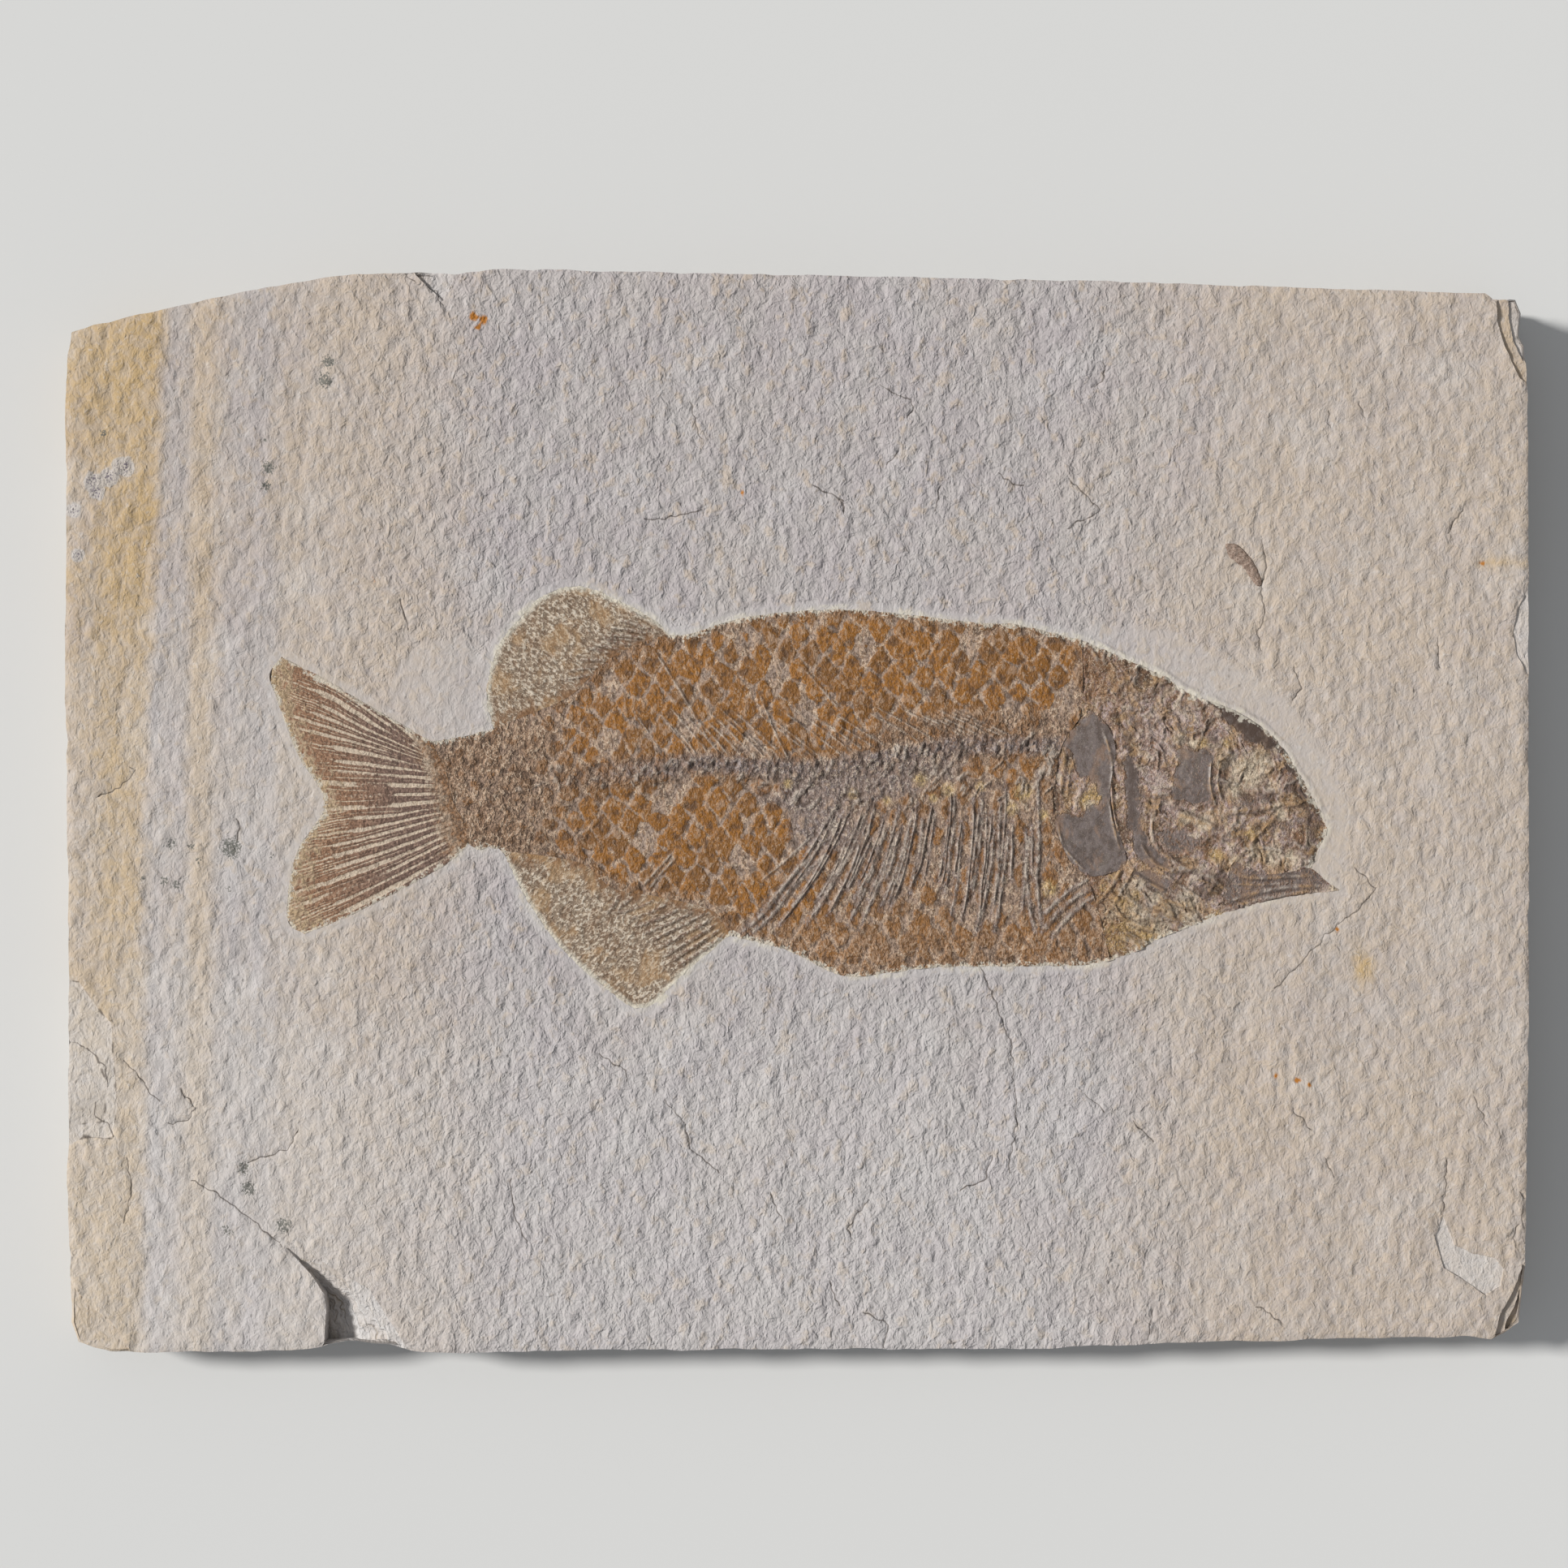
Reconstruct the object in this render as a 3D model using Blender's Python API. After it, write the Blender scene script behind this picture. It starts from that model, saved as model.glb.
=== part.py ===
"""Fossil fish slab.

A thin slab of split limestone with a fossil fish lying on its face and a small
coprolite beside it. The slab lies flat: the origin is the centre of its underside,
+X runs to the fish's snout, +Y to its back and +Z out of the face that carries it.
Plan outlines and heights below are in millimetres; MM turns them into metres.
"""
import math
import random

import bmesh
import bpy
from mathutils import Vector, noise
from mathutils.geometry import delaunay_2d_cdt

MM = 0.001

# Heights and thicknesses
SLAB_THICK = 18.0          # underside to the mean level of the face
LUMP_HEIGHT = 0.35         # swell of the split face above and below that level
LUMP_LENGTH = 13.0
WORN_EDGE = 0.5            # how far the arris round the face is worn down
TROUGH_DEPTH = 0.8         # the groove cleaned out round the fish
TROUGH_WIDTH = 3.0
TROUGH_WIDTH_HEAD = 9.0    # the groove is broader over the snout and forehead
SEAT_DEPTH = 2.3           # the fish lies in a seat this far below the face
FISH_UNDERSIDE = 2.0
COPROLITE_UNDERSIDE = 1.4
GAP = 0.3                  # clearance between neighbouring pieces
BODY_EDGE = -0.4           # the fish's margin, measured from the face
BODY_RISE = 1.2            # how much its middle stands above its margin
BODY_SLOPE = 20.0          # distance in from the margin where the rise levels off
FIN_LEVEL = -0.5
SCALE_LENGTH = 5.9         # one scale along the body
SCALE_ROW = 6.0            # from one row of scales to the next
SCALE_LIFT = 0.4
VERTEBRA_LENGTH = 2.8
VERTEBRA_LIFT = 0.55
RIB_LIFT = 0.5
RIB_COUNT = 17
RIB_STEPS = 5              # straight pieces in one rib
RIB_BOW = 1.8              # how far the rearmost rib bends
RIB_HEADS = (11.0, 4.0), (60.0, 10.0)       # rearmost and foremost rib, at the backbone
RIB_TIPS = (-9.0, -29.0), (62.0, -32.0)     # the same two ribs at the belly
RAY_LIFT = 0.4
TAIL_RAYS = 19
DORSAL_RAYS = 10
ANAL_RAYS = 13
RAY_SHARES = (0.0, 0.35, 0.7, 1.0)   # where a ray has its points

# The split side: heights of its courses, and how far they stand in from the face's outline
SIDE_COURSES = (9.6, 9.0, 3.2)
SIDE_INSET = 0.75
SIDE_UNEVEN = 0.55

# Spacing of the points in plan
FACE_SPACING = 10.0
SIDE_SPACING = 9.0
FISH_SPACING = 4.2

# The slab's plan outline, clockwise from its top left corner
SLAB_ARCH = [(-179.3, 117.4), (-175.5, 119.4), (-144.5, 126.4), (-120.5, 131.0),
             (-108.5, 132.4), (-94.5, 132.8)]
SLAB_REST = [(-94.5, 132.8), (-84.5, 132.6), (-72.5, 133.8), (-48.5, 133.2), (71.5, 130.8),
             (169.5, 127.6), (171.5, 126.2), (177.1, 126.0), (178.7, 122.8), (178.5, 117.2),
             (179.7, 114.8), (180.3, 99.8), (180.5, -40.2), (179.7, -111.8), (178.3, -126.4),
             (175.7, -128.6), (170.9, -130.2), (166.7, -129.6), (83.5, -131.6),
             (59.5, -132.8), (-48.5, -133.0), (-84.5, -133.8), (-95.3, -133.2),
             (-100.5, -132.0), (-112.3, -131.6), (-117.2, -132.6), (-132.5, -133.4),
             (-169.5, -133.6), (-177.5, -131.2), (-179.1, -126.2), (-180.1, -92.2),
             (-179.7, -62.2), (-180.5, 39.8), (-180.5, 99.8), (-180.1, 112.6),
             (-179.3, 117.4)]

# The fish's outline, as curves that meet end to end, clockwise from the tail's root
TAIL_ROOT = [(-81.1, -8.4), (-82.1, -3.2), (-85.1, 2.8), (-86.7, 9.8), (-90.3, 17.2)]
PEDUNCLE_TOP = [(-90.3, 17.2), (-83.5, 18.2), (-75.1, 20.2)]
DORSAL_BASE = [(-75.1, 20.2), (-66.1, 23.8), (-55.9, 28.4), (-46.9, 37.0), (-37.5, 41.8),
               (-31.5, 43.4)]
DORSAL_EDGE = [(-75.1, 20.2), (-76.7, 29.4), (-73.9, 40.4), (-69.5, 46.4), (-62.5, 53.2),
               (-53.5, 55.4), (-43.3, 51.6), (-35.5, 47.2), (-31.5, 43.4)]
BACK = [(-31.5, 43.4), (-25.7, 43.8), (-12.3, 47.8), (12.7, 49.6), (44.1, 46.4), (53.5, 46.0),
        (69.9, 42.2)]
CROWN = [(69.9, 42.2), (89.5, 33.6), (96.9, 28.8), (107.7, 24.6), (117.3, 18.2),
         (123.7, 9.0), (130.3, -3.4), (128.9, -9.0), (126.5, -14.0)]
JAW_FRONT = [(126.5, -14.0), (129.7, -16.6), (133.5, -19.6), (129.1, -20.2)]
JAW_UNDER = [(129.1, -20.2), (118.5, -21.6), (106.7, -24.8), (102.9, -26.2)]
THROAT = [(102.9, -26.2), (89.5, -31.4), (84.7, -34.2), (77.1, -37.0)]
BELLY = [(77.1, -37.0), (66.9, -38.2), (35.1, -38.6), (12.7, -40.8), (1.1, -36.0),
         (-5.1, -33.6), (-16.7, -30.8)]
ANAL_EDGE = [(-16.7, -30.8), (-22.7, -35.8), (-31.1, -43.2), (-35.1, -47.6), (-38.9, -48.6),
             (-42.9, -47.2), (-57.5, -34.8), (-67.1, -21.4), (-72.7, -10.4), (-76.1, -9.0)]
ANAL_BASE = [(-16.7, -30.8), (-21.1, -24.6), (-34.1, -21.2), (-45.3, -19.2), (-53.7, -12.8),
             (-71.1, -10.0), (-76.1, -9.0)]
PEDUNCLE_LOW = [(-76.1, -9.0), (-78.7, -9.6), (-81.1, -8.4)]
TAIL_LOWER = [(-81.1, -8.4), (-87.5, -13.8), (-107.9, -24.8), (-121.5, -30.4)]
TAIL_END = [(-121.5, -30.4), (-125.9, -26.4), (-123.5, -10.4), (-117.3, -1.0), (-117.3, 4.6),
            (-123.1, 13.6), (-128.3, 27.4), (-130.3, 33.6), (-127.1, 38.0)]
TAIL_UPPER = [(-127.1, 38.0), (-116.5, 32.2), (-90.3, 17.2)]
NECK_TOP = [(69.9, 42.2), (70.3, 31.8), (69.5, 22.8)]
GILL_REAR = [(69.5, 22.8), (65.1, 16.0), (63.5, 7.8), (63.1, -1.6), (66.5, -11.4),
             (71.3, -16.2)]
GILL_FRONT = [(71.3, -16.2), (76.1, -15.6), (80.9, -12.4), (77.7, -1.6), (77.1, 6.4),
              (78.3, 14.4), (76.7, 20.2), (72.3, 24.6), (69.5, 22.8)]
NECK_LOW = [(71.3, -16.2), (73.9, -24.2), (77.1, -37.0)]
JAW_TOP = [(102.9, -26.2), (104.7, -19.8), (107.7, -12.6), (115.7, -15.6), (126.5, -14.0)]

BACKBONE = [(-82.0, 5.2), (-56.5, 8.2), (-22.5, 11.6), (6.5, 9.8), (26.5, 14.0),
            (36.7, 16.0), (61.0, 16.0)]
COPROLITE = [(105.3, 65.8), (108.3, 65.6), (112.1, 61.8), (114.5, 56.6), (113.3, 55.4),
             (110.1, 59.4), (105.9, 63.0), (105.3, 65.8)]

# Flakes lost from the slab's margin. An outline may run out past the slab's own.
NOTCH = [(-129.5, -104.2), (-123.9, -109.8), (-119.5, -114.6), (-116.5, -119.2),
         (-116.1, -123.0), (-116.9, -136.0), (-94.0, -136.0), (-99.9, -126.6),
         (-105.5, -117.8), (-111.5, -114.6), (-123.5, -107.2)]
NOTCH_DEPTH = 7.5
NOTCH_BREAK = (-116.5, -119.2)      # where the upright break turns towards the crack's end
NOTCH_TIP = (-129.5, -104.2)
NOTCH_MOUTH = (-95.0, -134.0)       # where the far side of the notch meets the margin
NOTCH_SLANT = -0.86                 # x per y along both slanting sides
NOTCH_LEDGES = [(-112.0, -119.0, -0.5), (-111.0, -125.5, 0.9), (-106.8, -124.0, -0.4),
                (-106.0, -130.0, 0.5), (-112.6, -130.2, -0.6)]
TOP_CHIP = [(-94.5, 136.0), (-93.9, 132.0), (-90.9, 129.0), (-87.3, 125.8), (-84.7, 130.8),
            (-80.5, 136.0)]
TOP_CHIP_DEPTH = 2.4
LEFT_FLAKE = [(-184.0, -41.2), (-177.1, -42.2), (-171.5, -50.0), (-169.1, -52.2),
              (-167.7, -73.0), (-168.9, -80.8), (-175.9, -80.4), (-184.0, -85.4)]
LEFT_FLAKE_DEEP = [(-184.0, -56.4), (-177.7, -57.2), (-172.9, -60.4), (-170.2, -67.6),
                   (-171.0, -76.6), (-178.0, -77.4), (-184.0, -78.4)]
CORNER_FLAKE = [(-184.0, -116.2), (-178.9, -116.6), (-174.1, -122.4), (-169.7, -125.2),
                (-165.0, -131.0), (-164.0, -137.0), (-184.0, -137.0)]
RIGHT_FLAKE = [(184.0, 54.2), (176.9, 54.2), (175.9, 46.8), (177.5, 34.6), (184.0, 33.6)]
CORNER_STEPS = [
    (1.5, [(172.3, 131.0), (172.3, 120.4), (174.1, 111.6), (176.6, 104.8), (184.0, 102.0),
           (184.0, 131.0)]),
    (3.2, [(174.5, 131.0), (174.5, 119.6), (175.9, 112.8), (178.0, 108.2), (184.0, 103.6),
           (184.0, 131.0)]),
    (4.8, [(175.9, 131.0), (175.9, 122.0), (177.0, 117.8), (178.1, 113.8), (184.0, 110.6),
           (184.0, 131.0)]),
]
LOW_CORNER_STEPS = [
    (2.0, [(184.0, -109.8), (178.6, -112.8), (176.5, -118.4), (173.1, -124.6),
           (171.0, -134.0), (184.0, -134.0)]),
    (4.0, [(184.0, -115.0), (178.4, -117.6), (177.0, -122.4), (174.9, -126.2),
           (173.6, -134.0), (184.0, -134.0)]),
]
CRESCENT_SCAR = [(159.1, -99.8), (157.1, -105.4), (159.3, -112.6), (164.3, -115.6),
                 (169.5, -119.4), (173.3, -117.0), (174.1, -113.0), (172.0, -110.2),
                 (166.7, -109.2), (161.9, -107.0)]

# Bones of the skull that stand above or below the rest: (step, outline)
SKULL_BONES = {
    "roof": (0.6, [(102.3, 25.4), (107.7, 22.8), (113.1, 19.6), (117.2, 16.4), (114.1, 14.9),
                   (109.3, 18.6), (105.5, 21.8)]),
    "cheek": (0.45, [(93.7, 15.4), (100.3, 15.0), (103.5, 13.4), (102.3, 8.0), (103.6, 3.4),
                     (98.5, 1.0), (92.7, 2.6), (91.7, 5.8)]),
    "lower_cheek": (0.35, [(88.5, -5.0), (92.7, -3.8), (100.3, -7.0), (98.1, -9.8),
                           (91.7, -10.8), (88.5, -8.2)]),
    "palate": (0.6, [(105.6, 0.2), (121.5, 1.2), (122.3, 2.6), (105.6, 2.0)]),
    "upper_jaw": (0.5, [(114.7, -2.2), (123.7, -1.8), (120.1, -5.0), (110.2, -9.6),
                        (108.6, -9.0), (112.5, -5.8)]),
    "crescent": (0.45, [(80.5, 17.8), (83.1, 11.8), (84.5, 5.8), (84.9, -4.6), (86.9, -8.6),
                        (92.8, -13.8), (91.4, -15.8), (84.1, -12.6), (82.1, -8.2),
                        (80.7, -1.6), (80.5, 5.8)]),
}
ORBIT_CENTRE = (111.9, 9.0)
ORBIT_RADII = (6.6, 4.8)
ORBIT_DEPTH = 0.7
GILL_HOLLOW_CENTRE = (70.4, 3.4)
GILL_HOLLOW_RADII = (3.9, 3.3)
GILL_HOLLOW_DEPTH = 0.5
GILL_RIDGE = [(73.6, 20.0, 0.5), (74.6, 10.0, 0.6), (75.2, -2.0, 0.6), (76.2, -11.0, 0.5)]
JAW_RIDGE = [(107.4, -15.6, 0.5), (113.0, -18.0, 0.8), (121.0, -18.0, 0.8),
             (128.6, -17.8, 0.5)]
JAW_HOLLOWS = [(106.6, -21.4, 0.1), (112.2, -21.4, -0.1), (110.4, -15.4, 0.1)]
COPROLITE_LUMPS = [(107.0, 64.6, 0.5), (109.2, 62.9, 0.2), (110.9, 60.9, 0.6),
                   (112.4, 58.9, 0.2), (113.5, 56.9, 0.5)]
THROAT_RAY_LIFT = 0.5
THROAT_RAYS = [
    [(83.0, -18.0), (91.0, -22.0), (99.0, -24.4)],
    [(78.4, -19.6), (86.0, -24.2), (94.6, -27.2)],
    [(77.6, -24.6), (84.0, -28.4), (88.6, -29.4)],
]


def smooth(points, spacing):
    """Points about one spacing apart on the smooth curve through the given points."""
    curve = [points[0]]
    for i in range(len(points) - 1):
        before, start = points[max(i - 1, 0)], points[i]
        end, after = points[i + 1], points[min(i + 2, len(points) - 1)]
        steps = max(1, round(math.dist(start, end) / spacing))
        for step in range(1, steps + 1):
            t = step / steps
            spot = []
            for p, q, r, s in zip(before, start, end, after):
                cubic = (3 * q - p - 3 * r + s) * t ** 3
                square = (2 * p - 5 * q + 4 * r - s) * t ** 2
                spot.append((2 * q + (r - p) * t + square + cubic) / 2)
            curve.append(tuple(spot))
    return curve


def straight(points, spacing):
    """The same points, with others about one spacing apart on the lines between them."""
    path = [points[0]]
    for start, end in zip(points, points[1:]):
        steps = max(1, round(math.dist(start, end) / spacing))
        for step in range(1, steps + 1):
            path.append(blend(start, end, step / steps))
    return path


def blend(start, end, share):
    return tuple(a + (b - a) * share for a, b in zip(start, end))


def loop_of(*curves):
    """A closed loop, anticlockwise, of curves that meet end to end."""
    loop = []
    for curve in curves:
        loop += curve[:-1]
    twice_area = sum(a[0] * b[1] - a[1] * b[0] for a, b in zip(loop, loop[1:] + loop[:1]))
    return loop if twice_area > 0 else loop[::-1]


def grown(loop, distance):
    """The loop with every point moved out along its own normal, or in for a negative one."""
    moved = []
    for i, here in enumerate(loop):
        before, after = loop[i - 1], loop[(i + 1) % len(loop)]
        arrive = (Vector(here) - Vector(before)).normalized()
        leave = (Vector(after) - Vector(here)).normalized()
        normal = Vector((arrive.y + leave.y, -arrive.x - leave.x)).normalized()
        slant = max(normal.dot(Vector((arrive.y, -arrive.x))), 0.4)
        moved.append(tuple(Vector(here) + normal * (distance / slant)))
    return moved


def holds(loop, x, y):
    """True where the point is inside the loop."""
    inside = False
    for (ax, ay), (bx, by) in zip(loop, loop[1:] + loop[:1]):
        if (ay > y) != (by > y) and x < ax + (bx - ax) * (y - ay) / (by - ay):
            inside = not inside
    return inside


def reach(path, x, y, closed=True):
    """Distance from a point to the nearest part of a loop or path."""
    nearest = math.inf
    ends = path[1:] + path[:1] if closed else path[1:]
    for (ax, ay), (bx, by) in zip(path, ends):
        ux, uy = bx - ax, by - ay
        share = ((x - ax) * ux + (y - ay) * uy) / (ux * ux + uy * uy)
        share = clamped(share)
        nearest = min(nearest, math.hypot(x - ax - ux * share, y - ay - uy * share))
    return nearest


def oval(centre, radii, sides):
    loop = []
    for i in range(sides):
        turn = math.tau * i / sides
        loop.append((centre[0] + radii[0] * math.cos(turn),
                     centre[1] + radii[1] * math.sin(turn)))
    return loop


def honeycomb(loop, pitch, row, jitter=0.0):
    """Centres in offset rows that fill the loop's box, each nudged by up to the jitter."""
    xs, ys = [p[0] for p in loop], [p[1] for p in loop]
    nudge = random.Random(11)
    centres = []
    for j in range(math.floor(min(ys) / row), math.ceil(max(ys) / row) + 1):
        for i in range(math.floor(min(xs) / pitch), math.ceil(max(xs) / pitch) + 1):
            x = (i + 0.5 * (j % 2)) * pitch + nudge.uniform(-jitter, jitter)
            y = j * row + nudge.uniform(-jitter, jitter)
            centres.append((x, y))
    return centres


def step_in(depth):
    """A level that lies a fixed depth below the face."""
    return lambda x, y, top: top - depth


def wall(upper_path, lower_path):
    """Triangles between two upright rows of corners, each listed from one end down."""
    triangles = []
    i = j = 0
    while i < len(upper_path) - 1 or j < len(lower_path) - 1:
        if j == len(lower_path) - 1 or (i < len(upper_path) - 1 and i <= j):
            triangles.append((upper_path[i], upper_path[i + 1], lower_path[j]))
            i += 1
        else:
            triangles.append((upper_path[i], lower_path[j + 1], lower_path[j]))
            j += 1
    return triangles


def relief(name, outline, top, floor, finish, patches=(), crests=(), points=(), courses=()):
    """One closed solid with a modelled upper face, upright sides and a flat underside.

    top(x, y) gives the face's height. patches are (loop, level) stepped areas with upright
    walls, where level(x, y, top) gives their height. crests are lines of (x, y, lift) and
    points are (x, y, lift), lifted from the face. courses are (z, inset) rings of the side.
    """
    spots, lifts, ties = [], [], []

    def tie(line, closed):
        first = len(spots)
        for spot in line:
            spots.append(Vector(spot[:2]))
            lifts.append(spot[2] if len(spot) > 2 else 0.0)
        count = len(line)
        for i in range(count if closed else count - 1):
            ties.append((first + i, first + (i + 1) % count))

    tie(outline, True)
    for patch, _ in patches:
        tie(patch, True)
    for crest in crests:
        tie(crest, False)
    for point in points:
        tie([point], False)
    plan, _, corners, sources, _, _ = delaunay_2d_cdt(spots, ties, [], 0, 0.01)

    def region_of(x, y):
        region = -1
        for i, (patch, _) in enumerate(patches):
            if holds(patch, x, y):
                region = i
        return region

    kept = []
    for corner in corners:
        x = sum(plan[i].x for i in corner) / 3
        y = sum(plan[i].y for i in corner) / 3
        if holds(outline, x, y):
            kept.append((corner, region_of(x, y)))

    vertices, faces, stacks = [], [], {}

    def vertex(x, y, z):
        vertices.append(Vector((x, y, z)) * MM)
        return len(vertices) - 1

    def height(spot, region):
        x, y = plan[spot]
        lift = max((lifts[i] for i in sources[spot]), default=0.0)
        z = top(x, y)
        if region >= 0:
            z = patches[region][1](x, y, z)
        return z + lift

    def copy_of(spot, region):
        """The corner over a spot at its region's height, shared where heights agree."""
        x, y = plan[spot]
        z = height(spot, region)
        stack = stacks.setdefault(spot, [])
        for level, index in stack:
            if abs(level - z) < 0.05:
                return index
        index = vertex(x, y, z)
        stack.append((z, index))
        stack.sort(reverse=True)
        return index

    sides = {}
    for corner, region in kept:
        faces.append([copy_of(spot, region) for spot in corner])
        for a, b in zip(corner, corner[1:] + corner[:1]):
            sides.setdefault((min(a, b), max(a, b)), []).append(region)

    def run(spot, start, end):
        """The stack's corners from one to the other, either way up."""
        order = [index for _, index in stacks[spot]]
        i, j = order.index(start), order.index(end)
        return order[i:j + 1] if i <= j else order[j:i + 1][::-1]

    rim = {}
    for (a, b), regions in sides.items():
        if len(regions) == 1:
            rim.setdefault(a, []).append(b)
            rim.setdefault(b, []).append(a)
        elif regions[0] != regions[1]:
            first, second = regions
            faces += wall(run(a, copy_of(a, first), copy_of(a, second)),
                          run(b, copy_of(b, first), copy_of(b, second)))
    start = next(iter(rim))
    walk = [start, rim[start][0]]
    while walk[-1] != start:
        one, other = rim[walk[-1]]
        walk.append(other if one == walk[-2] else one)
    walk.pop()
    edge = [tuple(plan[spot]) for spot in walk]
    area = sum(a[0] * b[1] - a[1] * b[0] for a, b in zip(edge, edge[1:] + edge[:1]))
    if area < 0:
        walk.reverse()
        edge.reverse()
    levels = list(courses) + [(floor, courses[-1][1] if courses else None)]
    rings = [[stacks[spot][-1][1] for spot in walk]]
    for z, inset in levels:
        ring = []
        for i, (x, y) in enumerate(edge):
            if inset:
                shrunk = grown([edge[i - 1], (x, y), edge[(i + 1) % len(edge)]], -1.0)[1]
                x, y = blend((x, y), shrunk, inset(x, y, z))
            ring.append(vertex(x, y, z))
        rings.append(ring)
    for i, spot in enumerate(walk):
        j = (i + 1) % len(walk)
        after = walk[j]
        region = sides[(min(spot, after), max(spot, after))][0]
        faces += wall(run(spot, copy_of(spot, region), rings[0][i]),
                      run(after, copy_of(after, region), rings[0][j]))
        for upper, lower in zip(rings, rings[1:]):
            faces += [(upper[i], lower[i], lower[j]), (upper[i], lower[j], upper[j])]

    base = [Vector((vertices[i].x, vertices[i].y)) / MM for i in rings[-1]]
    loop = [tuple(spot) for spot in base]
    inner = [Vector(c) for c in honeycomb(loop, 34.0, 30.0)
             if holds(loop, *c) and reach(loop, *c) > 10.0]
    ties = [(i, (i + 1) % len(base)) for i in range(len(base))]
    plan2, _, corners, sources2, _, _ = delaunay_2d_cdt(base + inner, ties, [], 1, 0.001)
    below = []
    for spot, source in zip(plan2, sources2):
        known = [i for i in source if i < len(base)]
        below.append(rings[-1][known[0]] if known else vertex(spot.x, spot.y, floor))
    for corner in corners:
        faces.append([below[i] for i in corner])

    mesh = bpy.data.meshes.new(name)
    mesh.from_pydata(vertices, [], faces)
    shaper = bmesh.new()
    shaper.from_mesh(mesh)
    bmesh.ops.triangulate(shaper, faces=shaper.faces[:])
    bmesh.ops.recalc_face_normals(shaper, faces=shaper.faces[:])
    shaper.to_mesh(mesh)
    shaper.free()
    mesh.shade_flat()
    mesh.materials.append(finish)
    piece = bpy.data.objects.new(name, mesh)
    bpy.context.scene.collection.objects.link(piece)
    return piece


def matte(name, colour, roughness):
    finish = bpy.data.materials.new(name)
    finish.use_nodes = True
    shader = finish.node_tree.nodes["Principled BSDF"]
    shader.inputs["Base Color"].default_value = (*colour, 1.0)
    shader.inputs["Roughness"].default_value = roughness
    shader.inputs["Metallic"].default_value = 0.0
    return finish


def curve(points):
    return smooth(points, FISH_SPACING)


FISH_LOOP = loop_of(curve(PEDUNCLE_TOP), curve(DORSAL_EDGE), curve(BACK), curve(CROWN), JAW_FRONT,
                    curve(JAW_UNDER), curve(THROAT), curve(BELLY), curve(ANAL_EDGE),
                    curve(PEDUNCLE_LOW), curve(TAIL_LOWER), curve(TAIL_END),
                    curve(TAIL_UPPER))
BODY_LOOP = loop_of(curve(PEDUNCLE_TOP), curve(DORSAL_BASE), curve(BACK), curve(CROWN), JAW_FRONT,
                    curve(JAW_UNDER), curve(THROAT), curve(BELLY), curve(ANAL_BASE),
                    curve(PEDUNCLE_LOW), curve(TAIL_ROOT))
SEAT_LOOP = grown(FISH_LOOP, GAP / 2)
COPROLITE_LOOP = loop_of(smooth(COPROLITE, 2.6))


def clamped(value):
    return min(max(value, 0.0), 1.0)


def ripple(x, y, length):
    """A smooth uneven swell between about -1 and 1."""
    broad = noise.noise(Vector((x / length, y / length, 0.4)))
    fine = noise.noise(Vector((x / length * 2.3, y / length * 2.3, 7.9)))
    return 1.3 * broad + 0.5 * fine


def body_top(x, y):
    share = clamped(reach(BODY_LOOP, x, y) / BODY_SLOPE)
    return SLAB_THICK + BODY_EDGE + BODY_RISE * (1.0 - (1.0 - share) ** 2)


def fin_top(x, y):
    return SLAB_THICK + FIN_LEVEL


def inside_only(loop, points, clear):
    """The points that keep clear of the loop and of one another."""
    chosen = []
    for point in points:
        if not holds(loop, *point[:2]) or reach(loop, *point[:2]) < clear:
            continue
        if all(math.dist(point[:2], other[:2]) > clear for other in chosen):
            chosen.append(point)
    return chosen


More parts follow.
